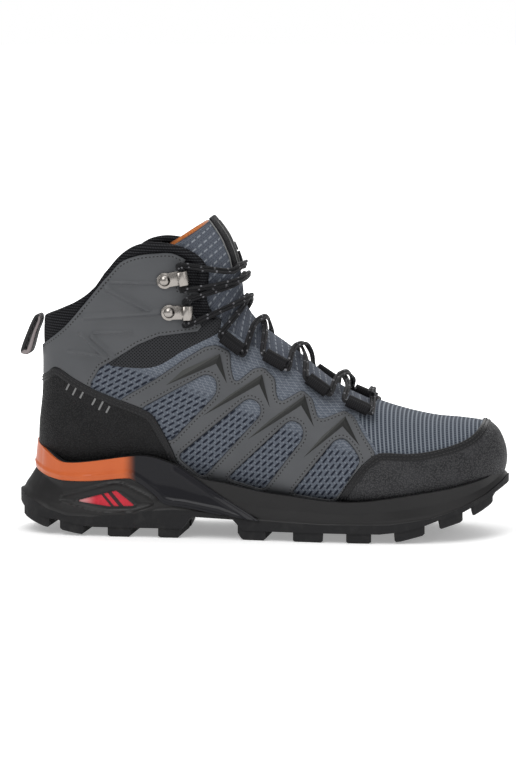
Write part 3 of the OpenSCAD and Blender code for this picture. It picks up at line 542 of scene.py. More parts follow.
def panel(name, surface, fields, material, low, thick, edge=0.8, relief=None, depth=-0.5, **options):
    """A piece of fabric or film on a surface: fields give distances inside its outlines."""
    table, tris = surface
    table = table.copy()
    table[:, D] = np.minimum.reduce([f(table) for f in fields])
    near = table[:, D] > -4
    table, tris = compact(table, tris[near[tris].any(1)])
    table, tris = clip(table, tris, D)
    for level in (0.25 * edge, edge):
        table, tris = split(table, tris, D, level)
    d = table[:, D]
    heights = low + profile(d, thick, edge)
    if relief is not None:
        heights = heights + relief(table)
    points, faces, rim = sheet_mesh(table, tris, heights, depth)
    uv = table[:, [0, 2]]
    obj = build(name, points, faces, material, uv=np.concatenate([uv, uv[rim]]), sharp=50, **options)
    return obj, (table, tris)


def inside(outline, grow=0.0):
    return lambda table: field(table, outline, grow)


def outside(outline, gap=0.0):
    return lambda table: -field(table, outline) - gap


def bead(length, width, height):
    """A small elongated bead, for one stitch."""
    sides = 6
    a = 2 * math.pi * np.arange(sides) / sides
    points = [[t * length, y * g * width / 2, z * g * height / 2]
              for t, g in ((-.5, .25), (-.36, .8), (0, 1), (.36, .8), (.5, .25))
              for y, z in zip(np.cos(a), np.sin(a))]
    return np.array(points), capped_faces(5, sides)


def walk(line, spacing, start=0.0):
    """Evenly spaced rows along a line of table rows."""
    s = lengths(line[:, :3])
    at = np.arange(start, s[-1] - spacing * 0.3, spacing)
    return np.stack([np.interp(at, s, column) for column in line.T], 1)


def stitches(name, lines, material, out, length=1.7, width=0.55, height=0.5, gap=0.75, start=0.75,
             body="boot", **options):
    """A row of beads along lines, lying on the surface at a height."""
    shape, shape_faces = bead(length, width, height)
    points, faces, n = [], [], 0
    for line in lines:
        rows, ahead = (walk(line, length + gap, at) for at in (start, start + 0.4))
        for row, nxt in zip(rows, ahead):
            z = unit(row[3:6])
            x = unit(nxt[:3] - row[:3])
            x = unit(x - z * (x @ z))
            y = np.cross(z, x)
            points.append(shape @ np.array([x, y, z]) + row[:3] + z * out)
            faces += [[v + n for v in f] for f in shape_faces]
            n += len(shape)
    if not points:
        return None
    return build(name, np.concatenate(points), faces, material, body=body, **options)


def tube(path, radius, sides=10, squash=1.0, up=None):
    """A round cord along a path, as points, faces and texture coordinates."""
    path = np.asarray(path, float)
    ahead = unit(np.gradient(path, axis=0))
    radius = np.broadcast_to(np.asarray(radius, float), (len(path),))
    side = np.zeros_like(path)
    guide = np.array([0, 0, 1.0]) if abs(ahead[0][2]) < .9 else np.array([1.0, 0, 0])
    side[0] = unit(np.cross(guide, ahead[0]))
    for i in range(1, len(path)):
        side[i] = unit(side[i - 1] - ahead[i] * (side[i - 1] @ ahead[i]))
    if up is not None:
        side = unit(np.cross(up, ahead))
    top = np.cross(ahead, side)
    a = np.linspace(0, 2 * math.pi, sides, endpoint=False)
    ring = (side[:, None] * np.cos(a)[None, :, None] + squash * top[:, None] * np.sin(a)[None, :, None])
    points = (path[:, None] + ring * radius[:, None, None]).reshape(-1, 3)
    uv = np.stack([np.repeat(lengths(path), sides), np.tile(a / (2 * math.pi), len(path))], 1)
    return points, capped_faces(len(path), sides), uv


def merged(parts):
    """Several (points, faces, uv) as one."""
    points, faces, uvs = zip(*parts)
    starts = np.cumsum([0] + [len(p) for p in points])
    joined_faces = [[v + int(n) for v in face] for n, group in zip(starts, faces) for face in group]
    return np.concatenate(points), joined_faces, np.concatenate(uvs)


def build_parts(name, parts, material, **options):
    points, faces, uv = merged(parts)
    return build(name, points, faces, material, uv=uv, **options)


# ---------------------------------------------------------------- materials
class Value:
    """A number inside a material's nodes that takes plain arithmetic."""

    def __init__(self, paint, socket):
        self.paint, self.socket = paint, socket

    def __add__(self, other):
        return self.paint.math("ADD", self, other)

    def __sub__(self, other):
        return self.paint.math("SUBTRACT", self, other)

    def __rsub__(self, other):
        return self.paint.math("SUBTRACT", other, self)

    def __mul__(self, other):
        return self.paint.math("MULTIPLY", self, other)

    def __truediv__(self, other):
        return self.paint.math("DIVIDE", self, other)

    def __abs__(self):
        return self.paint.math("ABSOLUTE", self)


class Paint:
    """Builds a procedural material, one expression at a time; lengths are millimetres."""

    def __init__(self, name, rough=0.6, metal=0.0, sheen=0.0, coat=0.0, shine=0.5):
        self.material = bpy.data.materials.new(name)
        self.material.use_nodes = True
        self.nodes = self.material.node_tree.nodes
        self.shader = self.nodes["Principled BSDF"]
        for key, value in (("Roughness", rough), ("Metallic", metal), ("Sheen Weight", sheen),
                           ("Coat Weight", coat), ("Specular IOR Level", shine)):
            self.shader.inputs[key].default_value = value
        where = self.node("TexCoord").outputs["Object"]
        self.where = self.node("VectorMath", operation="SCALE", Vector=where, Scale=1000).outputs[0]

    def node(self, kind, operation=None, **inputs):
        n = self.nodes.new("ShaderNode" + kind)
        if operation:
            n.operation = operation
        for key, value in inputs.items():
            self.put(n.inputs[key.replace("_", " ")], value)
        return n

    def put(self, socket, value):
        value = value.socket if isinstance(value, Value) else value
        if isinstance(value, bpy.types.NodeSocket):
            self.material.node_tree.links.new(value, socket)
        elif isinstance(value, tuple) and len(socket.default_value) == 4:
            socket.default_value = (*value, 1)
        else:
            socket.default_value = value

    def math(self, operation, *values):
        n = self.node("Math", operation)
        for socket, value in zip(n.inputs, values):
            self.put(socket, value)
        return Value(self, n.outputs[0])

    def mix(self, amount, a, b):
        n = self.node("Mix")
        n.data_type = "RGBA"
        for i, value in ((0, amount), (6, a), (7, b)):
            self.put(n.inputs[i], value)
        return n.outputs[2]

    def range(self, value, low, high, to_low=0.0, to_high=1.0):
        """A smooth step from one end of a range to the other."""
        n = self.node("MapRange", Value=value, From_Min=low, From_Max=high,
                      To_Min=to_low, To_Max=to_high)
        n.interpolation_type = "SMOOTHSTEP"
        return Value(self, n.outputs[0])

    def axes(self, vector):
        parts = self.node("SeparateXYZ", Vector=vector).outputs
        return [Value(self, socket) for socket in parts]

    def grain(self):
        """The piece's own texture coordinates."""
        n = self.node("UVMap")
        n.uv_map = "grain"
        return self.axes(n.outputs[0])[:2]

    def place(self):
        """Place on the object as x, y, z."""
        return self.axes(self.where)

    def noise(self, scale, detail=2.0):
        node = self.node("TexNoise", Vector=self.where, Scale=scale, Detail=detail)
        return Value(self, node.outputs[0])

    def cells(self, scale):
        return Value(self, self.node("TexVoronoi", Vector=self.where, Scale=scale).outputs[0])

    def wave(self, value, pitch):
        """A smooth wave from 0 to 1 along a coordinate."""
        return self.math("MULTIPLY_ADD", self.math("SINE", value * (2 * math.pi / pitch)), 0.5, 0.5)

    def dashes(self, u, v, pitch, row, length, width):
        """Staggered dashes: 1 on a dash. Length and width are shares of the pitch and the row."""
        line, soft = v / row, 0.12
        at = self.math("FRACT", u / pitch + self.math("FLOOR", line) * 0.5)
        along = self.range(abs(at - 0.5), length / 2 - soft / 2, length / 2 + soft / 2, 1, 0)
        off = abs(self.math("FRACT", line) - 0.5)
        across = self.range(off, width / 2 - soft, width / 2 + soft, 1, 0)
        return along * across

    def finish(self, colour, height=None, depth=0.3, rough=None):
        self.put(self.shader.inputs["Base Color"], colour)
        if rough is not None:
            self.put(self.shader.inputs["Roughness"], rough)
        if height is not None:
            bump = self.node("Bump", Strength=1.0, Distance=depth / 1000, Height=height)
            self.put(self.shader.inputs["Normal"], bump.outputs[0])
        return self.material


def grey(level, tint=0.0):
    """A grey that is a little bluer by the tint."""
    return level, level, level + tint


def woven_sides():
    """Blue-grey mesh: rows of dark open dashes low down, fine light cross-hatching higher up."""
    p = Paint("woven_sides", 0.8, shine=0.2)
    u, v = p.grain()
    x, _, z = p.place()
    high = p.range(z + x * 0.356, 71, 79)
    hole = p.dashes(u, v, 5.4, 2.9, 0.7, 0.4) * (1 - high)
    light = p.dashes(v + u * 0.35, u, 5.8, 2.7, 0.75, 0.16)
    cross = p.dashes(u - v, u + v, 2.6, 2.2, 0.8, 0.14)
    light = p.math("MAXIMUM", light * 0.6, cross * high)
    fine = p.wave(u, 0.95) * p.wave(v, 0.8)
    base = p.mix(fine, (0.085, 0.098, 0.122), (0.14, 0.158, 0.19))
    base = p.mix(light * 0.6, base, (0.33, 0.36, 0.4))
    return p.finish(p.mix(hole, base, (0.01, 0.013, 0.024)), fine * 0.35 - hole, 0.5)


def woven_vamp():
    """Ribbed blue-grey mesh over the toes: columns of small dark dots between light ribs."""
    p = Paint("woven_vamp", 0.8, shine=0.2)
    x, y, z = p.place()
    along = x + z * 0.12
    dots = p.dashes(z - abs(y) * 0.5, along, 1.9, 2.4, 0.6, 0.42)
    rib = p.wave(along + 0.6, 2.4)
    base = p.mix(rib, (0.075, 0.09, 0.112), (0.125, 0.142, 0.168))
    base = p.mix(p.range(rib, 0.72, 0.95) * 0.35, base, (0.3, 0.33, 0.37))
    return p.finish(p.mix(dots * 0.85, base, (0.022, 0.028, 0.045)), rib * 0.6 - dots, 0.45)


def woven_tongue():
    """Blue-grey fabric with rows of light dashes across the tongue."""
    p = Paint("woven_tongue", 0.8, shine=0.2)
    u, v = p.grain()
    row = u + abs(v) * 0.12
    light = p.dashes(v, row, 3.4, 4.9, 0.62, 0.13)
    dark = p.dashes(v, row + 1.0, 1.7, 1.63, 0.5, 0.3)
    fine = p.wave(u, 1.05) * p.wave(v, 0.8)
    base = p.mix(fine, (0.078, 0.088, 0.11), (0.125, 0.14, 0.168))
    base = p.mix(dark * 0.6, base, (0.03, 0.035, 0.055))
    return p.finish(p.mix(light * 0.75, base, (0.4, 0.43, 0.47)), fine + light, 0.3)


def film_grey():
    """Smooth grey moulded overlay with a faint grain."""
    p = Paint("film_grey", 0.48, shine=0.3)
    grain = p.noise(2.2, 3)
    colour = p.mix(p.noise(0.05), (0.062, 0.065, 0.07), (0.086, 0.089, 0.095))
    return p.finish(colour, grain, 0.06, p.range(grain, 0.3, 0.7, 0.42, 0.55))


# Lit and shaded copies of one facet material: shade scales the tone, as painted light and shade.
def facet(name, shade):
    p = Paint(name, 0.5, shine=0.25)
    grain = p.noise(2.5, 3)
    dark, light = ((a * shade, b * shade, a * shade) for a, b in ((0.9, 0.94), (1.15, 1.2)))
    return p.finish(p.mix(grain, dark, light), grain, 0.05)


def pebbled_black(name, shade):
    """Black coated textile with a fine pebbled grain; shade scales its tone, which makes the heel
    panel's copy painted shade and the toe cap's copy painted light.
    """
    p = Paint(name, 0.55, shine=0.2)
    pebble = p.range(p.cells(1.1), 0.1, 0.75, 1, 0)
    base = p.mix(pebble, grey(0.008 * shade, 0.001 * shade), grey(0.03 * shade, 0.001 * shade))
    colour = p.mix(p.range(p.noise(0.08), 0.3, 0.8, 0, 0.4), base, grey(0.03 * shade, 0.002 * shade))
    return p.finish(colour, pebble, 0.25, p.range(pebble, 0, 1, 0.62, 0.42))


def edge_black():
    """Smooth black binding and piping."""
    p = Paint("edge_black", 0.42, shine=0.25)
    grain = p.noise(1.5, 3)
    return p.finish(p.mix(grain, grey(0.006, 0.001), grey(0.016, 0.001)), grain, 0.06)


def net_black():
    """Black open net: a fine diamond mesh."""
    p = Paint("net_black", 0.7, shine=0.15)
    u, v = p.grain()
    hole = p.range(p.wave(u + v, 2.1) * p.wave(u - v * 1.1, 2.1), 0.35, 0.6)
    return p.finish(p.mix(hole, (0.03, 0.031, 0.034), grey(0.002, 0.0005)), 1 - hole, 0.4)


def net_ribbed():
    """Black net of the collar with fine ribs round the ankle."""
    p = Paint("net_ribbed", 0.75, shine=0.12)
    x, _, z = p.place()
    knit = p.range(p.wave(z + x * 0.05, 1.7), 0.25, 0.8) * (p.wave(x + z * 0.6, 1.5) * 0.7 + 0.3)
    return p.finish(p.mix(knit, grey(0.002, 0.001), (0.03, 0.031, 0.034)), knit, 0.3)


def fine_weave(p, a, pitch_a, b, pitch_b, dark, light, depth=0.2):
    """Finishes a material as a plain weave along two coordinates."""
    weave = p.wave(a, pitch_a) * p.wave(b, pitch_b)
    return p.finish(p.mix(weave, dark, light), weave, depth)


def lining_black():
    p = Paint("lining_black", 0.85, shine=0.15)
    x, y, z = p.place()
    return fine_weave(p, x + y, 1.0, z, 0.9, grey(0.008, 0.001), grey(0.028, 0.003))


def lining_orange():
    p = Paint("lining_orange", 0.75, sheen=0.3)
    x, y, z = p.place()
    return fine_weave(p, x + z, 0.9, y, 0.9, (0.5, 0.13, 0.02), (0.85, 0.3, 0.07))


def webbing_black():
    p = Paint("webbing_black", 0.65, shine=0.15)
    u, v = p.grain()
    return fine_weave(p, u, 1.1, v, 0.9, grey(0.004, 0.001), grey(0.02, 0.002), 0.25)


def pull_webbing():
    """Black webbing with a pale stripe near each edge and along the inner strand's side."""
    p = Paint("pull_webbing", 0.6)
    u, v = p.grain()
    weave = p.wave(u, 1.3) * p.wave(v, 1.1)
    side = p.range(abs(v), 6.62, 6.8) * p.range(u, 27, 29)
    stripe = p.math("MAXIMUM", p.range(abs(abs(v) - 4.6), 0.5, 0.9, 1, 0), side)
    base = p.mix(weave, grey(0.006, 0.001), grey(0.022, 0.002))
    return p.finish(p.mix(stripe * 0.7, base, (0.35, 0.3, 0.3)), weave, 0.3)


def rope_black():
    """Braided round lace with light flecks."""
    p = Paint("rope_black", 0.6, shine=0.25)
    u, v = p.grain()
    turn = v * 8 * 1.1
    braid = p.math("MAXIMUM", p.wave(u + turn, 1.6), p.wave(u - turn, 1.6))
    along = p.range(p.math("FRACT", u / 9), 0.1, 0.15, 1, 0)
    around = p.range(p.math("FRACT", v * 2 + u * 0.043), 0.4, 0.5, 1, 0)
    base = p.mix(braid, grey(0.003, 0.001), grey(0.016, 0.002))
    return p.finish(p.mix(along * around * 0.6, base, grey(0.3, 0.02)), braid, 0.3)


def mottled(name, dark, light, rough=0.6, scale=3.0, detail=2, depth=0.1):
    """A fine grain between two tones, for thread and for inner pieces."""
    p = Paint(name, rough)
    grain = p.noise(scale, detail)
    return p.finish(p.mix(grain, dark, light), grain, depth)


def thread(name, colour):
    return mottled(name, tuple(c * 0.55 for c in colour), colour)


def inner(name, colour, rough=0.7, scale=1.5):
    return mottled(name, tuple(c * 0.7 for c in colour), colour, rough, scale, 4, 0.15)


def foam_black():
    """Moulded black foam of the sole."""
    p = Paint("foam_black", 0.45, shine=0.35)
    cloud = p.noise(0.04, 3)
    colour = p.mix(cloud, (0.0055, 0.0053, 0.0057), (0.012, 0.0115, 0.012))
    return p.finish(colour, p.noise(1.8, 4), 0.08, p.range(cloud, 0.3, 0.7, 0.38, 0.52))


def rubber_black():
    """Tread rubber, matt and slightly dusty."""
    p = Paint("rubber_black", 0.7, shine=0.15)
    dust = p.range(p.noise(0.15, 4), 0.45, 0.75, 0, 0.5)
    return p.finish(p.mix(dust, grey(0.017, 0.001), (0.03, 0.0295, 0.0295)), p.noise(2.6, 4), 0.15)


def band_orange():
    """Plastic heel band, orange at the back and black towards the arch."""
    p = Paint("band_orange", 0.32, coat=0.06, shine=0.25)
    fade = p.range(p.place()[0], -82, -73)
    orange = p.mix(p.noise(0.06), (0.47, 0.088, 0.022), (0.6, 0.14, 0.04))
    return p.finish(p.mix(fade, orange, (0.0045, 0.0045, 0.007)), p.noise(0.8, 3), 0.05)


def insert_red():
    """Glossy red insert with a painted highlight as a pale rear corner, and two slanted dark bars."""
    p = Paint("insert_red", 0.2, coat=0.6)
    x, _, z = p.place()
    slant = x + z * 0.9
    bars = p.math("MAXIMUM", p.range(abs(slant + 66), 1.2, 1.9, 1, 0),
                  p.range(abs(slant + 71.5), 0.8, 1.4, 1, 0))
    red = p.mix(p.noise(0.5), (0.42, 0.008, 0.02), (0.65, 0.02, 0.045))
    # Painted highlight: the red turns pale towards the rear corner.
    red = p.mix(p.range(x, -108, -98, 1, 0) * 0.6, red, (0.8, 0.5, 0.5))
    return p.finish(p.mix(bars, red, (0.03, 0.005, 0.008)), p.noise(1.0), 0.05)


def nickel():
    p = Paint("nickel", 0.3, metal=1.0)
    grain = p.noise(1.2, 4)
    return p.finish(p.mix(grain, (0.3, 0.28, 0.26), (0.4, 0.375, 0.35)), grain, 0.012,
                    p.range(grain, 0.3, 0.7, 0.2, 0.3))


M = {
    "sides": woven_sides(), "vamp": woven_vamp(), "tongue": woven_tongue(), "film": film_grey(),
    # The three facet tones are painted light and shade on one dark facet material.
    "long_upper": facet("facet_painted_lit", 0.045), "long_lower": facet("facet_painted_mid_shade", 0.018),
    # The heel panel and the toe cap are one pebbled black textile, painted darker at the heel as shade
    # and lighter at the toe as light.
    "short": facet("facet_dark", 0.013), "heel": pebbled_black("pebbled_heel_painted_shade", 0.45),
    "toe": pebbled_black("pebbled_toe_painted_lit", 1.7), "edge": edge_black(), "net": net_black(),
    "ribbed": net_ribbed(), "lining": lining_black(), "orange_lining": lining_orange(),
    "webbing": webbing_black(), "pull": pull_webbing(), "rope": rope_black(), "foam": foam_black(),
    "rubber": rubber_black(), "band": band_orange(), "red": insert_red(), "nickel": nickel(),
    "thread_grey": thread("thread_grey", (0.13, 0.136, 0.14)),
    # Near-black beads that paint shade: in needle holes and along the cage's edges.
    "painted_shade_dark": thread("painted_shade_dark", grey(0.006, 0.0005)),
    "thread_black": thread("thread_black", grey(0.013, 0.001)),
    "mark": thread("mark_grey", grey(0.22)),
    "board": inner("board_tan", (0.55, 0.47, 0.33)),
    "steel": inner("shank_grey", (0.1, 0.11, 0.12), 0.4),
    "stiff": inner("stiffener", (0.5, 0.47, 0.41)),
    "insole": inner("insole_dark", (0.05, 0.053, 0.06), 0.85, 2.5),
    "aglet": inner("aglet_black", grey(0.02, 0.001), 0.25),
}


# ---------------------------------------------------------------- upper
def zone(points):
    """Which strip between the cage's struts a side-view place lies in."""
    n = np.zeros(len(points), int)
    for c in CHEVRONS:
        a, b = c[2], c[0]
        way = b - a
        n += ((points[:, 0] - a[0]) * way[1] - (points[:, 1] - a[1]) * way[0]) > 0
    return n


STRIP_ANGLES = np.array([28.5, 30, 39.8, 43, 51])


def strip_grain(table, tris):
    """Texture coordinates per corner, turned to the direction of each strip."""
    p = table[tris][:, :, [0, 2]]
    angles = np.radians(STRIP_ANGLES[zone(p.mean(1))])
    x, z = p[:, :, 0], p[:, :, 1]
    c, s = np.cos(angles)[:, None], np.sin(angles)[:, None]
    return np.stack([x * c + z * s, z * c - x * s], -1).reshape(-1, 2)


VAMP_EDGE = joined(arr([48, 0], [62, 30], [74, 53], [60, 75], [56, 100]), arr([FAR, 100], [FAR, 0]))


def upper_fabric():
    """The woven upper: sides whose weave follows the struts, and a ribbed vamp."""
    table, tris = region(SKIN, (-150, 15, 150, 150))
    fields = [inside(UPPER), outside(COLLAR, 1.5), outside(FLEX, -1), inside(ABOVE_RIM, 4)]
    table[:, D] = np.minimum.reduce([f(table) for f in fields])
    for name, edge, replaced in (("sides", outside(VAMP_EDGE), ("upper_mesh",)),
                                 ("vamp", inside(VAMP_EDGE), ())):
        table[:, E] = edge(table)
        piece, piece_tris = clip(*clip(table, tris, E), D)
        puff = 0.35 * np.clip(piece[:, D] / 2.0, 0, 1)
        points, faces, _ = sheet_mesh(piece, piece_tris, puff - 0.35, -1.1)
        corners = strip_grain(piece, piece_tris)
        uv = np.zeros((len(faces) * 3, 2))
        uv[:len(corners)] = corners
        build(f"upper_{name}", points, faces, M[name], uv=uv, stands_for=replaced,
              slot="mesh_blue_grey")


def seam_rows(name, piece, fields, offsets, material, out, **options):
    """Stitch rows at distances inside the outlines of a panel."""
    table, tris = piece
    table = table.copy()
    table[:, E] = np.minimum.reduce([f(table) for f in fields])
    lines = [line for level in offsets for line in contour(table, tris, E, level)]
    return stitches(name, lines, material, out, **options)


def overlay_seam(name, piece, edges):
    """Dark beads as painted shade in the needle holes of an overlay's seam, with fine thread between
    them.
    """
    seam_rows(f"{name}_stitches", piece, edges, (1.9,), M["thread_grey"], 1.22,
              length=0.9, gap=1.4, width=0.36, height=0.3, start=1.9)
    seam_rows(f"{name}_needle_holes", piece, edges, (1.9,), M["painted_shade_dark"], 1.2,
              length=1.25, gap=1.05, width=0.95, height=0.3)


def bound(name, sheet, outline, fields):
    """Smooth binding along a rand's upper edge, with two rows of stitches over dark beads that paint
    the shade of their needle holes.
    """
    strip = [inside(outline), lambda t: 4.4 - field(t, outline)] + fields
    _, piece = panel(f"{name}_binding", sheet, strip, M["edge"], 0.9, 0.75, edge=0.6,
                     slot="rand_black")
    seam_rows(f"{name}_stitches", piece, [inside(outline)], (1.5, 3.3), M["thread_black"], 1.75,
              width=0.6, height=0.55)
    # Painted shade: dark beads under the stitches for the shadow line of the needle holes.
    seam_rows(f"{name}_needle_holes", piece, [inside(outline)], (1.5, 3.3), M["painted_shade_dark"], 1.64,
              length=0.9, gap=1.55, start=0.3, width=0.85, height=0.35)


def toe_cap():
    sheet = region(SKIN, (40, 15, 160, 80))
    fields = [inside(TOE), inside(ABOVE_RIM, 6.0)]
    panel("toe_cap", sheet, fields, M["toe"], 0.1, 1.15, stands_for=("toe_cap",), slot="rand_black")
    bound("toe_cap", sheet, TOE, fields[1:])


def heel_panel():
    sheet = region(SKIN, (-150, 15, -30, 108))
    fields = [inside(HEEL), inside(ABOVE_RIM, 2.5)]
    panel("heel_panel", sheet, fields, M["heel"], 0.1, 1.15, stands_for=("heel_panel",),
          slot="rand_black")
    bound("heel_panel", sheet, HEEL, fields[1:])


def cage(half, name):
    sheet = region(SKIN, (-95, 15, 85, 122), half)
    holes = [rounded(w, 4.5) for w in CAGE_WINDOWS]
    edges = [inside(CAGE)] + [outside(h) for h in holes]
    fields = edges + [outside(TOE, 0.1), outside(HEEL, 0.1), inside(ABOVE_RIM, 1.0)]
    _, piece = panel(f"cage_{name}", sheet, fields, M["film"], 0.1, 1.15,
                     stands_for=(f"cage_{name}",), slot="overlay_grey")
    overlay_seam(f"cage_{name}", piece, edges)
    # Painted shade: a thin dark line along the cage's edges, where the film's edge meets the fabric.
    seam_rows(f"cage_{name}_cut_edge", piece, edges, (0.12,), M["painted_shade_dark"], 0.75,
              length=2.6, gap=-0.4, width=0.5, height=0.7)


def wedge(corners, heights, half):
    """A flat triangular facet over the side of the last, as points, faces and coordinates."""
    n = 10
    points, outs, index = [], [], {}
    for i in range(n + 1):
        for j in range(n + 1 - i):
            w = np.array([1 - (i + j) / n, i / n, j / n])
            index[i, j] = len(points)
            points.append(w @ np.array(corners))
            outs.append(1.25 + float(w @ np.array(heights)))
    where, _ = on_side(np.array(points), half, np.array(outs))
    faces = []
    for i in range(n):
        for j in range(n - i):
            faces.append([index[i, j], index[i + 1, j], index[i, j + 1]])
            if i + j < n - 1:
                faces.append([index[i + 1, j], index[i + 1, j + 1], index[i, j + 1]])
    return where, faces, np.array(points)


def facets(half, name):
    """Wedge-shaped facets at the peaks of the cage, the long arms lighter than the arms on the toe
    side: one dark facet material in painted tones of light and shade, the upper faces of the long arms
    painted lit and the other faces painted shaded.
    """
    tones = {"long_upper": [], "long_lower": [], "short": []}
    for top, inner, tip, upper, toe in CHEVRONS:
        ridge = top * 0.55 + inner * 0.45
        tones["long_upper"].append(wedge((upper, top, tip), (0.0, 1.2, 0.0), half))
        tones["long_lower"].append(wedge((top, ridge, tip), (1.2, 1.6, 0.0), half))
        tones["long_lower"].append(wedge((ridge, inner, tip), (1.6, 0.1, 0.0), half))
        tones["short"].append(wedge((top, toe, ridge), (1.2, 0.0, 1.6), half))
        tones["short"].append(wedge((ridge, toe, inner), (1.6, 0.0, 0.1), half))
    for tone, parts in tones.items():
        build_parts(f"chevrons_{name}_{tone}", parts, M[tone], smooth=False, slot="facet_dark",
                    stands_for=(f"chevrons_{name}",) if tone == "long_upper" else ())


# Embossed ridges of the ankle panel: both ends and half the width
EMBOSSED = [([-88.3, 153.9], [-60.1, 153], 0.8), ([-91.5, 150.2], [-66.2, 137.1], 1.5),
            ([-105.6, 132.3], [-60.1, 135.6], 1.5), ([-99.5, 123.1], [-76, 123.7], 0.8),
            ([-107.7, 122.6], [-93.6, 109.2], 1.1), ([-100.7, 120.8], [-86.8, 108.3], 1.1),
            ([-114.7, 111.4], [-91.8, 108.3], 0.9)]


def embossing(table):
    """Soft raised ridges with a shallow hollow on each side."""
    p = table[:, [0, 2]]
    ridge, hollow = np.zeros(len(p)), np.zeros(len(p))
    for a, b, width in EMBOSSED:
        a, b = np.array(a), np.array(b)
        t = np.clip((p - a) @ (b - a) / ((b - a) @ (b - a)), 0, 1)
        d = np.linalg.norm(p - a - t[:, None] * (b - a), axis=1) / width
        ridge = np.maximum(ridge, 1.7 * np.sqrt(width) * np.exp(-d ** 2))
        hollow = np.maximum(hollow, 0.5 * np.exp(-(d / 2.2) ** 2))
    return ridge - hollow


def ankle_panel(half, name):
    sheet = region(SKIN, (-150, 80, -25, 180), half)
    fields = [inside(ANKLE), outside(HEEL, 0.1)]
    _, piece = panel(f"ankle_{name}", sheet, fields, M["film"], 0.1, 1.15, relief=embossing,
                     stands_for=(f"ankle_panel_{name}",), slot="overlay_grey")
    overlay_seam(f"ankle_{name}", piece, [inside(ANKLE)])


def flex_panels():
    sheet = region(SKIN, (-110, 95, -15, 140))
    fields = [inside(FLEX, 1.0), outside(COLLAR, -1), outside(ANKLE, -3)]
    panel("flex_panels", sheet, fields, M["net"], -0.6, 0.9, edge=2.0,
          stands_for=("flex_panels",), slot="net_black")


def heel_marks():
    """Plain slanted bars where the heel panel carries a printed word."""
    parts = []
    for half in (OUTER, INNER):
        a, b = np.array([-117, 90.5]), np.array([-86, 74.2])
        down = unit(np.array([a[1] - b[1], b[0] - a[0]]))
        for t, size in ((0.04, 4.6), (0.18, 6), (0.32, 4.6), (0.56, 4.6), (0.7, 6), (0.84, 4.6)):
            middle = a + (b - a) * t
            line = middle + down * np.linspace(-0.5, 0.5, 8)[:, None] * size
            path, out = on_side(line, half, 1.28)
            parts.append(tube(path, 0.6, 8, 0.35, up=out))
    build_parts("heel_marks", parts, M["mark"], slot="rand_black")


# ---------------------------------------------------------------- collar
def finished(obj, material, body, slot, *nodes):
    """Gives a soft or hard copy its look, its body and the CAD nodes it stands for."""
    obj.data.materials.clear()
    obj.data.materials.append(material)
    obj.data.shade_smooth()
    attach(obj, body)
    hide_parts(*nodes)


def remeshed(name, node, voxel):
    """One closed soft body from a copy of a CAD node."""
    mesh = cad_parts[node].data.copy()
    mesh.name = name
    mesh.materials.clear()
    obj = bpy.data.objects.new(name, mesh)
    bpy.context.scene.collection.objects.link(obj)
    mod = obj.modifiers.new("remesh", "REMESH")
    mod.mode = "VOXEL"
    mod.voxel_size = voxel
    baked(obj)
    obj.data.shade_smooth()
    return obj


def baked(obj):
    """Replaces an object's mesh by what its modifiers make of it."""
    graph = bpy.context.evaluated_depsgraph_get()
    done = bpy.data.meshes.new_from_object(obj.evaluated_get(graph))
    obj.modifiers.clear()
    old = obj.data
    obj.data = done
    bpy.data.meshes.remove(old)
    return obj


def coords(obj):
    co = np.zeros(len(obj.data.vertices) * 3, np.float32)
    obj.data.vertices.foreach_get("co", co)
    return co.reshape(-1, 3).astype(float)


def set_coords(obj, co):
    obj.data.vertices.foreach_set("co", co.astype(np.float32).ravel())
    obj.data.update()


def inflate(obj, cap):
    """Swells a closed body like a cushion; no point moves farther than cap (metres)."""
    rest = coords(obj)
    cloth = obj.modifiers.new("cloth", "CLOTH").settings
    cloth.quality = 5
    cloth.mass = 0.3
    cloth.tension_stiffness = cloth.compression_stiffness = 12
    cloth.bending_stiffness = 0.5
    cloth.use_pressure = True
    cloth.uniform_pressure_force = 4.0
    cloth.effector_weights.gravity = 0
    last_frame = 20
    for f in range(1, last_frame + 1):
        bpy.context.scene.frame_set(f)
    baked(obj)
    bpy.context.scene.frame_set(1)
    moved = coords(obj) - rest
    size = np.linalg.norm(moved, axis=1, keepdims=True)
    moved *= np.minimum(1, cap / np.maximum(size, 1e-9))
    set_coords(obj, rest + moved)


def collar_pad():
    """Padded collar: outside, over the edge and down the inside."""
    obj = remeshed("collar_padding", "collar_foam", 0.004)
    inflate(obj, 0.0016)
    obj.modifiers.new("subdivision", "SUBSURF").levels = 1
    baked(obj)
    finished(obj, M["ribbed"], "boot", "net_black", "collar_foam", "collar")


def collar_skin():
    """The collar's outer fabric, from the ankle panel's edge to the top line."""
    sheet = region(SKIN, (-150, 95, -15, 182))
    fields = [inside(COLLAR), inside(UPPER)]
    roll = lambda t: (2.4 * np.sqrt(np.clip(1 - (field(t, UPPER) / 2.8 - 1) ** 2, 0, 1))
                      * np.clip((t[:, 2] - 135) / 8, 0, 1) * np.clip(-field(t, ANKLE) / 1.5, 0, 1))
    panel("collar_outside", sheet, fields, M["ribbed"], -0.9, 0.9, edge=2.5, relief=roll, depth=-3,
          slot="net_black")
    parts = []
    for half in (OUTER, INNER):
        line = curve(TOPLINE, 8)
        line = line[(line[:, 0] > -138) & (line[:, 1] > 146)] - [0, 1.6]
        path, up = on_side(line, half, -1.4)
        ends = np.clip(np.minimum(np.arange(len(path)), np.arange(len(path))[::-1]) / 14, 0.15, 1)
        parts.append(tube(path, 2.6 * ends, 16, up=up))
    build_parts("collar_edge_roll", parts, M["ribbed"], slot="net_black")


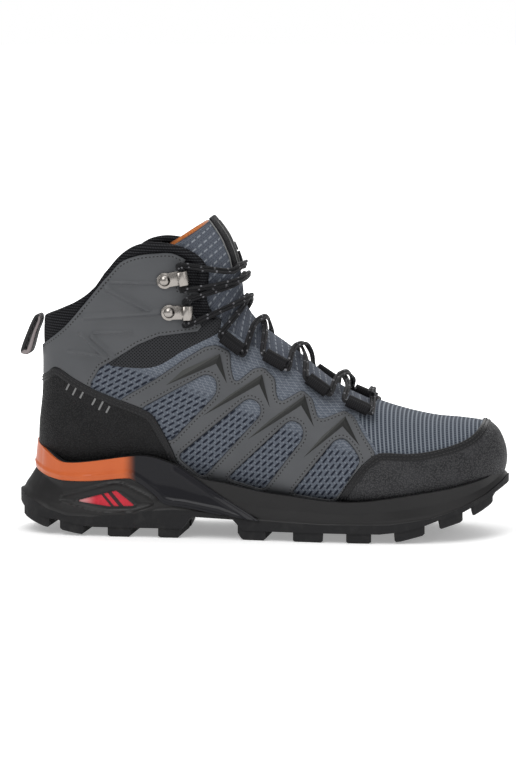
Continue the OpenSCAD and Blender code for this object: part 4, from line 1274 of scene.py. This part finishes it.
# ---------------------------------------------------------------- tongue
GAP_EDGE = arr([6, 17], [7, 22], [8, 25], [9, 30], [11, 35.5], [13, 39], [17, 42], [19, 41],
               [20, 44], [23, 47])
WING_REACH = arr([6, 3], [8, 8], [12, 12], [16, 14], [21, 13], [23, 11])
WING_DEPTH = arr([6, 1], [9, 2], [12, 3], [14, 5.5], [20, 6.5], [21.5, 3], [23, 1])
FACE_BULGE = arr([7.6, 0], [9.5, 1.5])
TONGUE_FROM, FACE_DEPTH, CORNER_DROP = 6.5, 2.3, 0.07


def between(table, x):
    return np.interp(x, table[:, 0], table[:, 1])


def tongue_at(u, v, more):
    k = TONGUE_FROM + (LAST_RING - TONGUE_FROM) * u * (1 - CORNER_DROP * np.abs(1 - 2 * v) ** 1.4)
    psi = (1 - 2 * v) * (between(GAP_EDGE, k) + between(WING_REACH, k))
    face = between(GAP_EDGE, k) - 3
    past = (np.abs(psi) - face) / (between(WING_REACH, k) + 3)
    dome = FACE_DEPTH - between(FACE_BULGE, k) * (1 - np.clip(np.abs(psi) / face, 0, 1) ** 2)
    wing = FACE_DEPTH + between(WING_DEPTH, k) * np.clip(past, 0, 9) ** 1.3
    return front(k, psi, -np.where(past < 0, dome, wing) - more)


def tongue_sheet(name, high, low, material, u0, u1, v0, v1, nu, nv, slot, stands_for=(), puff=0.0):
    """A closed sheet of the tongue between two depths, with rounded edges."""
    u, v = np.meshgrid(np.linspace(u0, u1, nu), np.linspace(v0, v1, nv), indexing="ij")
    iu, iv = (u - u0) / (u1 - u0), (v - v0) / (v1 - v0)
    edge = np.minimum(np.minimum(iv, 1 - iv) * 60, (1 - iu) * 130)
    bulge = puff * np.clip(edge / 6, 0, 1) ** 0.5
    mid, half = (high + low) / 2, (low - high) / 2
    round_off = half * np.sqrt(1 - (1 - np.clip(edge / max(half, .1), 0, 1)) ** 2)
    top = tongue_at(u.ravel(), v.ravel(), (mid - round_off - bulge).ravel())
    under = tongue_at(u.ravel(), v.ravel(), (mid + round_off).ravel())
    n = nu * nv
    quads = grid_faces(nu, nv, closed=False)
    faces = np.concatenate([quads[:, ::-1], quads + n])
    ring = rim_of(nu, nv)
    nxt = np.roll(ring, -1)
    walls = np.stack([ring, nxt, nxt + n, ring + n], 1)
    steps = np.linspace(u0, u1, 200)
    along = np.interp(u.ravel(), steps, lengths(tongue_at(steps, np.full(200, .5), 0.0)))
    middle = tongue_at(u.ravel(), np.full(n, .5), 0.0)
    across = np.sign(v.ravel() - .5) * np.linalg.norm(top - middle, axis=1)
    uv = np.stack([along, across], 1)
    return build(name, np.concatenate([top, under]), np.concatenate([faces, walls]), material,
                 body="tongue", uv=np.concatenate([uv, uv]), stands_for=stands_for, slot=slot)


def tongue():
    n = ((170, 80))
    tongue_sheet("tongue_cover", 0.0, 3.9, M["tongue"], 0, .985, 0, 1, *n, "mesh_blue_grey",
                 ("tongue_cover", "tongue_foam"), 0.6)
    tongue_sheet("tongue_lining", 4.0, 5.0, M["orange_lining"], 0, 1.0, 0, 1, *n, "lining_orange",
                 ("tongue_lining",))
    tongue_sheet("tongue_label", -1.2, -0.5, M["webbing"], .62, .995, .37, .63, 60, 20, "lining_black",
                 ("tongue_label",))
    parts = []
    for v in (.358, .642):
        u = np.linspace(.63, .99, 60)
        parts.append(tube(tongue_at(u, np.full(60, v), -1.0), 0.42, 8))
    u = np.linspace(.66, .96, 40)
    for v in (.46, .54):
        parts.append(tube(tongue_at(u, np.full(40, v), -1.3), 0.3, 6))
    build_parts("tongue_piping", parts, M["mark"], body="tongue", slot="lining_black")


# ---------------------------------------------------------------- laces and hardware
LACE_UP = arr([6.9, 5], [9, 2.5], [12, 1.9], [16, 1.9], [18, 4.2])
LACE_D, CROSS_UP = 2.8, 3.0
LOOP_OUT, LOOP_L, LOOP_W, LOOP_H, LOOP_T = 2.0, 12.0, 8.0, 6.2, 0.8
HOOK_T, HOOK_OUT, CURL_R, HOOK_L, HOOK_W = 1.0, 1.8, 2.6, 19.0, 9.6
HOOK_REACH = HOOK_L - HOOK_W / 2 - CURL_R - HOOK_T


def spot(k, psi, out):
    return front(np.array([float(k)]), np.array([float(psi)]), np.array([float(out)]))[0]


def loop_run(i, side):
    k, psi, _ = LOOPS[i]
    x, _, _ = frame_at(k, -side * psi)
    p = spot(k, -side * psi, LOOP_OUT + LOOP_H / 2)
    return [p + x * t * LOOP_L for t in (-.75, -.4, .4, .75)]


def hook_run(i, side):
    k, psi, _ = HOOKS[i]
    x, y, _ = frame_at(k, -side * psi)
    p = spot(k, -side * psi, HOOK_OUT + HOOK_T + CURL_R) + y * side * (HOOK_REACH + .6)
    return [p + x * t for t in (-7.5, -4, 4, 7.5)]


def strand(k0, a0, k1, a1, over):
    up = float(between(LACE_UP, k0))
    return [spot(k0 + (k1 - k0) * t, a0 + (a1 - a0) * t,
                 up + (CROSS_UP * (1 - abs(2 * t - 1)) if over else 0)) for t in (.22, .5, .78)]


def lace_tail(side):
    return [spot(17.6 + .8 * t, -22.5 - 5.5 * side - t, 3.8 - .2 * t) for t in (0, 1, 2)]


def half_lace(side):
    return ([spot(7.02, side * 8, between(LACE_UP, 6.9))] + loop_run(3, side)
            + strand(7.5, -side * 30, 8.1, side * 31, side > 0) + loop_run(2, -side)
            + strand(8.6, side * 31, 9.3, -side * 32, side < 0) + loop_run(1, side)
            + strand(9.9, -side * 33, 11.2, side * 38, side > 0) + loop_run(0, -side)
            + strand(12, side * 36, 13.6, -side * 40, side < 0) + hook_run(1, side)
            + strand(15.6, -side * 38, 16.2, side * 38, side > 0) + hook_run(0, -side)
            + strand(18, side * 36, 17.2, -12, side < 0) + lace_tail(side))


def doubled(path):
    """Two thin cords side by side along a path, slowly winding round each other."""
    near = SKIN[0][::3]
    up = np.stack([near[np.argmin(((near[:, :3] - p) ** 2).sum(1)), 3:6] for p in path])
    ahead = unit(np.gradient(path, axis=0))
    side = unit(np.cross(up, ahead))
    up = np.cross(ahead, side)
    turn = 0.5 * np.sin(lengths(path) / 9)[:, None]
    off = 0.95 * (side * np.cos(turn) + up * np.sin(turn))
    return [tube(path + off * way, LACE_D / 2 * 0.7, 10) for way in (-1, 1)]


def lace():
    parts = []
    for side in (-1, 1):
        parts += doubled(curve(half_lace(side), 8))
    bar = [spot(7.02, a, between(LACE_UP, 6.9)) for a in range(-12, 13, 3)]
    parts += doubled(curve(bar, 4))
    build_parts("lace", parts, M["rope"], stands_for=("lace",), slot="lace_black")
    parts = []
    for side in (-1, 1):
        tail = lace_tail(side)
        step = tail[-1] - tail[-2]
        path = np.array([tail[-1] + step * t for t in (.25, .3, .9, 1.45, 1.5)])
        parts.append(tube(path, [1.0, 1.35, 1.3, 1.25, 0.9], 12))
    build_parts("lace_aglets", parts, M["aglet"], stands_for=("lace_aglets",), slot="aglet_black")


def lace_loops():
    """Webbing channels that hold the lace at the throat."""
    parts = []
    for k, psi, roll in LOOPS:
        for side in (-1, 1):
            x, y, z = frame_at(k, -side * psi)
            a = math.radians(-side * roll)
            x, y = x * math.cos(a) + y * math.sin(a), y * math.cos(a) - x * math.sin(a)
            base = spot(k, -side * psi, LOOP_OUT)
            t = np.linspace(0, 2 * math.pi, 40, endpoint=False)
            flat = np.sign(np.cos(t)) * (LOOP_W - LOOP_H) / 2
            n, m = 12, len(t)
            rows = []
            for r, at in ((LOOP_H / 2, np.linspace(-.5, .5, n)),
                          (LOOP_H / 2 - LOOP_T, np.linspace(.5, -.5, n))):
                wide, high = (flat + np.cos(t) * r)[:, None], (LOOP_H / 2 + np.sin(t) * r)[:, None]
                rows += [base + x * s * (LOOP_L + 2) + wide * y * 1.06 + high * z for s in at]
            s = np.repeat(np.concatenate([np.linspace(0, LOOP_L, n), np.linspace(LOOP_L, 0, n)]), m)
            uv = np.stack([s, np.tile(t * LOOP_H / 2, 2 * n)], 1)
            parts.append((np.concatenate(rows), ring_faces(2 * n, m).tolist(), uv))
    build_parts("lace_loops", parts, M["webbing"], sharp=60, stands_for=("lace_loops",),
                slot="webbing_black")


def bevelled(node, name, width, slot):
    """A copy of a hard CAD node with softened edges."""
    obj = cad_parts[node].copy()
    obj.data = obj.data.copy()
    obj.name = name
    for key in list(obj.keys()):
        del obj[key]
    obj.parent = None
    bpy.context.scene.collection.objects.link(obj)
    bm = bmesh.new()
    bm.from_mesh(obj.data)
    bmesh.ops.remove_doubles(bm, verts=bm.verts, dist=2e-6)
    bmesh.ops.dissolve_limit(bm, angle_limit=math.radians(1), verts=bm.verts, edges=bm.edges)
    bm.to_mesh(obj.data)
    bm.free()
    mod = obj.modifiers.new("bevel", "BEVEL")
    mod.width, mod.segments, mod.limit_method = width, 2, "ANGLE"
    mod.angle_limit = math.radians(40)
    mod.harden_normals = True
    baked(obj)
    finished(obj, M["nickel"], "boot", slot, node)


def hardware():
    bevelled("lace_hooks", "hooks", 0.00022, "hook_metal")
    bevelled("hook_rivets", "rivets", 0.00015, "rivet_metal")
    bevelled("hook_washers", "washers", 0.00015, "rivet_metal")


PULL = arr([-137.2, 131.5], [-140.5, 130.5], [-145, 121], [-149, 110], [-147.5, 107.3],
           [-143, 108.5], [-139.5, 120], [-136.7, 127.5])
PULL_IN = arr([-138.3, 129.2], [-139.3, 128.6], [-142.9, 120.4], [-146.5, 111], [-146.2, 110.2],
              [-145, 110.8], [-141.5, 120.4], [-138.4, 127.8])


def pull_loop():
    outer, inner = loop(PULL, 10), loop(PULL_IN, 10)
    n, width = len(outer), 14.0
    s = lengths(outer)
    rows, uvs = [], []
    ys = [-.5, -.47, -.3, -.1, .1, .3, .47, .5]
    for line, order in ((outer, ys), (inner, ys[::-1])):
        for y in order:
            lean = 0.25 * (abs(y) > .48)
            p = line * (1 - lean) + (outer + inner - line) * lean
            rows.append(np.stack([p[:, 0], np.full(n, y * width), p[:, 1]], 1))
            uvs.append(np.stack([s, np.full(n, y * width)], 1))
    build("pull_loop", np.concatenate(rows), ring_faces(len(rows), n)[:, ::-1], M["pull"],
          body="pull_tab", uv=np.concatenate(uvs), stands_for=("pull_loop",), slot="webbing_black")


# ---------------------------------------------------------------- sole
RIM_IN = arr([-152, 12.5], [-140, 10.6], [-120, 4], [-80, 2.8], [0, 2.4], [60, 2], [120, 3], [152, 3])
WALL = arr([0, 0], [.25, .45], [.5, .85], [1, 1])


def line_at(table, x):
    order = np.argsort(table[:, 0])
    return np.interp(x, table[order, 0], table[order, 1])


def wall_at(outline, away, v):
    """Places on the sole's wall, v from 0 at the rubber to 1 at the rim."""
    inset = between(RIM_IN, outline[:, 0]) * between(WALL, np.clip(v, 0, 1))
    q = outline - away * inset[:, None]
    low, high = line_at(MID_LINE, q[:, 0]), line_at(curve(RIM), q[:, 0])
    return np.stack([q[:, 0], q[:, 1], low + (high - low) * v], 1)


def sole_wall():
    """The wall of the midsole as a dense surface, like the last's."""
    outline = loop(PLAN, 40)
    s = lengths(outline)
    step = 0.9
    at = np.arange(0, s[-1], step)
    outline = np.stack([np.interp(at, s, outline[:, c]) for c in (0, 1)], 1)
    ahead = unit(np.roll(outline, -1, 0) - np.roll(outline, 1, 0))
    away = np.stack([ahead[:, 1], -ahead[:, 0]], 1)
    rows = np.linspace(0, 1, 40)
    m, n = len(outline), len(rows)
    grid = np.stack([wall_at(outline, away, np.full(m, v)) for v in rows])
    table = np.zeros((n * m, WIDTH))
    table[:, :3] = grid.reshape(-1, 3)
    du = np.roll(grid, -2, 1) - np.roll(grid, 2, 1)
    dv = np.gradient(grid, axis=0)
    table[:, 3:6] = unit(np.cross(du, dv)).reshape(-1, 3)
    table[:, ANGLE] = np.sign(table[:, 1])
    table[:, LIFT] = np.repeat(rows, m)
    return table, triangles(grid_faces(n, m)), m


WALL_TABLE, WALL_TRIS, WALL_M = sole_wall()
RECESS = rounded(arr([-124, 22], [-84, 32.5], [-60, 21], [-72, 16.5], [-96, 15.5]), 6)
SEAM = arr([-47.5, 43.4], [-36, 36], [-20, 25.5], [-2, 15], [8, 8])
BAND = joined(curve(BAND_LOW), arr([-23, 15], [0, 8], [8, 7]), curve(SEAM)[::-1],
              arr([-50, 60], [-143, 70], [-160, 60], [-160, 41]))


def sculpt(table):
    """Relief of the foam: a parting groove, a hollow round the window and raised lines."""
    p = table[:, [0, 2]]
    v = table[:, LIFT]
    groove = -0.7 * np.exp(-((v - 0.07) * 30 / 2.2) ** 2)
    d, _ = distance(p, RECESS)
    hollow = -2.1 * np.clip((d + 0.5) / 4, 0, 1) ** 0.7
    line = 0.8 * np.exp(-((d + 1.2) / 0.9) ** 2) * (p[:, 0] > -120)
    return groove + hollow + line


def midsole():
    table = WALL_TABLE.copy()
    table[:, D] = -field(table, WINDOW) - 0.1
    table[:, D] = np.where(np.abs(table[:, 1]) > 5, table[:, D], 50)
    table, tris = clip(table, WALL_TRIS, D)
    heights = sculpt(table)
    heights += 0.5 * np.exp(-(table[:, D] / 0.9) ** 2)
    points, faces, _ = sheet_mesh(table, tris, heights, -3.2)
    build("midsole", points, faces, M["foam"], sharp=50, stands_for=("midsole",), slot="foam_black")
    # The rim's lip, from the wall's top edge in to the upper
    outline_top = WALL_TABLE[-WALL_M:, :3]
    normal = unit(WALL_TABLE[-WALL_M:, 3:6] * [1, 1, 0])
    rows = [outline_top - normal * inwards + [0, 0, up]
            for inwards, up in ((0, 0), (0.8, 0.5), (3, 0.2), (9, -3))]
    build("midsole_lip", np.concatenate(rows), grid_faces(len(rows), WALL_M), M["foam"],
          slot="foam_black")


def heel_band():
    wall = (WALL_TABLE, WALL_TRIS)
    relief = lambda t: (0.6 * np.exp(-((field(t, BAND) - 3.2) / 0.8) ** 2)
                        + 0.5 * np.clip(t[:, LIFT] - 0.6, 0, 1))
    panel("heel_band", wall, [inside(BAND), lambda t: 60 - t[:, 0]], M["band"], 0.1, 1.3,
          edge=1.2, relief=relief, stands_for=("heel_stabiliser",), slot="band_orange")
    for half, name in ((OUTER, "outer"), (INNER, "inner")):
        piece = [inside(WINDOW, 0.6), lambda t, h=half: np.sign(t[:, 1]) * h * 50]
        panel(f"window_insert_{name}", wall, piece, M["red"], -2.7, 0.4, depth=-3.2,
              stands_for=("window_inserts",), slot="insert_red")


def width_at(x, side):
    points = loop(PLAN, 40)
    a, b = sorted((points[:, 0].argmax(), points[:, 0].argmin()))
    run = points[a:b + 1]
    if np.sign(run[:, 1].mean()) != side:
        run = np.concatenate([points[b:], points[:a + 1]])
    order = np.argsort(run[:, 0])
    return np.interp(x, run[order, 0], run[order, 1])


def outsole():
    n, across = 220, 14
    t = np.linspace(0, math.pi, n)
    x = -150.0 * np.cos(t) * 0.9997
    outer, inner = width_at(x, OUTER), width_at(x, INNER)
    tread = np.maximum(0, between(GROUND, x)) + LUG_H
    top = line_at(MID_LINE, x) + 0.3
    tread = np.minimum(tread, top - 1.5)
    rows = []
    for i in range(n):
        ys = np.linspace(outer[i], inner[i], across)
        bottom = [[x[i], y, tread[i]] for y in ys]
        bottom[0][2] += 0.8
        bottom[-1][2] += 0.8
        sides = [[x[i], inner[i], tread[i] + (top[i] - tread[i]) * f] for f in (.35, .7, 1)]
        over = [[x[i], y, top[i]] for y in np.linspace(inner[i], outer[i], across)[1:-1]]
        back = [[x[i], outer[i], tread[i] + (top[i] - tread[i]) * f] for f in (1, .7, .35)]
        rows.append(np.array(bottom + sides + over + back))
    build("outsole_base", np.concatenate(rows), capped_faces(n, len(rows[0])), M["rubber"], sharp=40,
          stands_for=("outsole",), slot="rubber_black")
    parts = [lug(start, end, side) for start, end in LUGS for side in (OUTER, INNER)]
    build_parts("outsole_lugs", parts, M["rubber"], smooth=False, slot="rubber_black")


def lug(start, end, side):
    """One lug: a bar across half the sole with chamfered edges, its outer end following the sole's
    outline.
    """
    lean = 7 if start > 0 else -4
    n, m = 12, 12
    s, r = np.meshgrid(np.linspace(0, 1, n), np.linspace(0, 1, m), indexing="ij")
    x_mid = start + (end - start) * s
    limit = np.abs(width_at(x_mid + lean * .55, side)) * 0.99 - 0.3
    inner_y = GROOVE / 2
    y = inner_y + (limit - inner_y) * r
    x = x_mid + lean * y / 90
    limit = np.abs(width_at(x, side)) * 0.99 - 0.3
    y = inner_y + (limit - inner_y) * r
    middle = np.array([x.mean(), y.mean()])
    ring = rim_of(n, m)
    flat = np.stack([x.ravel(), y.ravel()], 1)
    shrunk = middle + (flat - middle) * (1 - 1.4 / np.maximum(np.abs(flat - middle).max(0), 3))
    edge = flat[ring]
    layers = []
    for layer, up in ((shrunk, 0), (edge, 1.1), (edge, LUG_H + .8)):
        x, y = layer.T
        layers.append(np.stack([x, side * y, np.maximum(0, between(GROUND, x)) + up], 1))
    points = np.concatenate(layers)
    quads = grid_faces(n, m, closed=False)
    k, nb = len(ring), n * m
    nxt = np.roll(np.arange(k), -1)
    low = np.stack([ring, ring[nxt], nb + nxt, nb + np.arange(k)], 1)
    wall = np.stack([nb + np.arange(k), nb + nxt, nb + k + nxt, nb + k + np.arange(k)], 1)
    faces = np.concatenate([quads[:, ::-1], low, wall]).tolist() + [(nb + k + np.arange(k)).tolist()]
    if side == OUTER:
        faces = [f[::-1] for f in faces]
    return points, faces, points[:, :2]


# ---------------------------------------------------------------- inside
def padding(k):
    return np.interp(k, [0, 9, 14, 23], [.5, .5, 6, 6])


def inside_lining():
    """Lining fabric of the foot's space, from above the insole to the collar."""
    rows, cols = 150, 160
    ks = np.linspace(3.0, 22.6, rows)
    table = last_table(ks, cols, 3.0 + padding(ks))
    tris = triangles(grid_faces(rows, cols))
    gap = joined(arr([82, FAR], [82, 62], [64, 62], [46, 68], [20, 84], [0, 92], [-20, 98], [-45, 106],
                     [-66, 118], [-66, FAR]))
    table[:, D] = np.minimum.reduce([field(table, UPPER, -1.5), -field(table, gap)])
    table, tris = clip(table, tris, D)
    points, faces, _ = sheet_mesh(table, tris, np.zeros(len(table)), -0.8)
    build("lining", points, faces[:, ::-1], M["lining"], stands_for=("lining",), slot="lining_black")


def insole():
    obj = remeshed("insole_cushion", "insole", 0.0025)
    obj.modifiers.new("smooth", "SMOOTH").iterations = 6
    baked(obj)
    finished(obj, M["insole"], "footbed", "insole_dark", "insole")


def hidden_nodes():
    """Procedural finishes for the CAD nodes that stay in place inside."""
    for node, material in (("shank", "steel"), ("insole_board", "board"), ("heel_counter", "stiff"),
                           ("toe_puff", "stiff")):
        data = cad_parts[node].data
        data.materials.clear()
        data.materials.append(M[material])


# ---------------------------------------------------------------- stage
def stage():
    scene = bpy.context.scene
    bpy.ops.mesh.primitive_plane_add(size=60, location=(0, 0, 0))
    floor = bpy.context.object
    floor.name = "floor"
    p = Paint("floor_white", 0.9)
    x, y, _ = p.place()
    far = p.math("SQRT", x * x + y * y)
    seen = p.node("LightPath").outputs["Is Camera Ray"]
    glow = p.math("MULTIPLY_ADD", p.range(far, 250, 900, 0, 0.8), seen, 0.3)
    p.put(p.shader.inputs["Emission Color"], (1, 1, 1))
    p.put(p.shader.inputs["Emission Strength"], glow)
    floor.data.materials.append(p.finish(p.mix(p.noise(0.02), grey(0.88), grey(0.9))))
    for name, place, size, power, height in (
            ("key", (-0.5, -1.3, 1.5), 1.2, 15, 0.08), ("fill", (1.3, -1.1, 0.7), 1.2, 4, 0.08),
            ("top", (0, 0.1, 1.8), 1.6, 15, 0.05), ("back", (0.3, 1.5, 1.2), 1.4, 12, 0.1)):
        data = bpy.data.lights.new(name, "AREA")
        data.size, data.energy = size, power
        lamp = bpy.data.objects.new(name, data)
        lamp.location = place
        aim = Vector((0, 0, height)) - Vector(place)
        lamp.rotation_euler = aim.to_track_quat("-Z", "Y").to_euler()
        scene.collection.objects.link(lamp)
    world = bpy.data.worlds.new("studio")
    world.use_nodes = True
    nodes, links = world.node_tree.nodes, world.node_tree.links
    # White to the camera, dimmer as a light
    path, strength = nodes.new("ShaderNodeLightPath"), nodes.new("ShaderNodeMapRange")
    strength.inputs["To Min"].default_value = 0.4
    strength.inputs["To Max"].default_value = 1.0
    links.new(path.outputs["Is Camera Ray"], strength.inputs["Value"])
    links.new(strength.outputs[0], nodes["Background"].inputs[1])
    nodes["Background"].inputs[0].default_value = (1, 1, 1, 1)
    scene.world = world
    scene.view_settings.view_transform = "Standard"


def camera():
    """A long lens on the outer side, a little towards the toe and above."""
    azimuth, elevation = math.radians(6), math.radians(6)
    distance_m = 2.2
    right = Vector((math.cos(azimuth), math.sin(azimuth), 0))
    level = math.cos(elevation)
    back = Vector((math.sin(azimuth) * level, -math.cos(azimuth) * level, math.sin(elevation)))
    up = back.cross(right)
    # The frame is 475.236 mm high for a sole 300 mm long, its middle 87.5 mm above the origin
    shown = 0.475236 * span("outsole", 0) / 0.3
    target = right * -0.0034 + up * 0.0875
    data = bpy.data.cameras.new("camera")
    data.sensor_width = 36
    data.lens = 36 * distance_m / shown
    cam = bpy.data.objects.new("camera", data)
    cam.location = target + back * distance_m
    cam.rotation_euler = (-back).to_track_quat("-Z", "Y").to_euler()
    bpy.context.scene.collection.objects.link(cam)
    bpy.context.scene.camera = cam


upper_fabric()
toe_cap()
heel_panel()
heel_marks()
for half_side, side_name in ((OUTER, "lateral"), (INNER, "medial")):
    cage(half_side, side_name)
    facets(half_side, side_name)
    ankle_panel(half_side, side_name)
flex_panels()
collar_pad()
collar_skin()
tongue()
lace()
lace_loops()
hardware()
pull_loop()
midsole()
heel_band()
outsole()
inside_lining()
insole()
hidden_nodes()
stage()
camera()
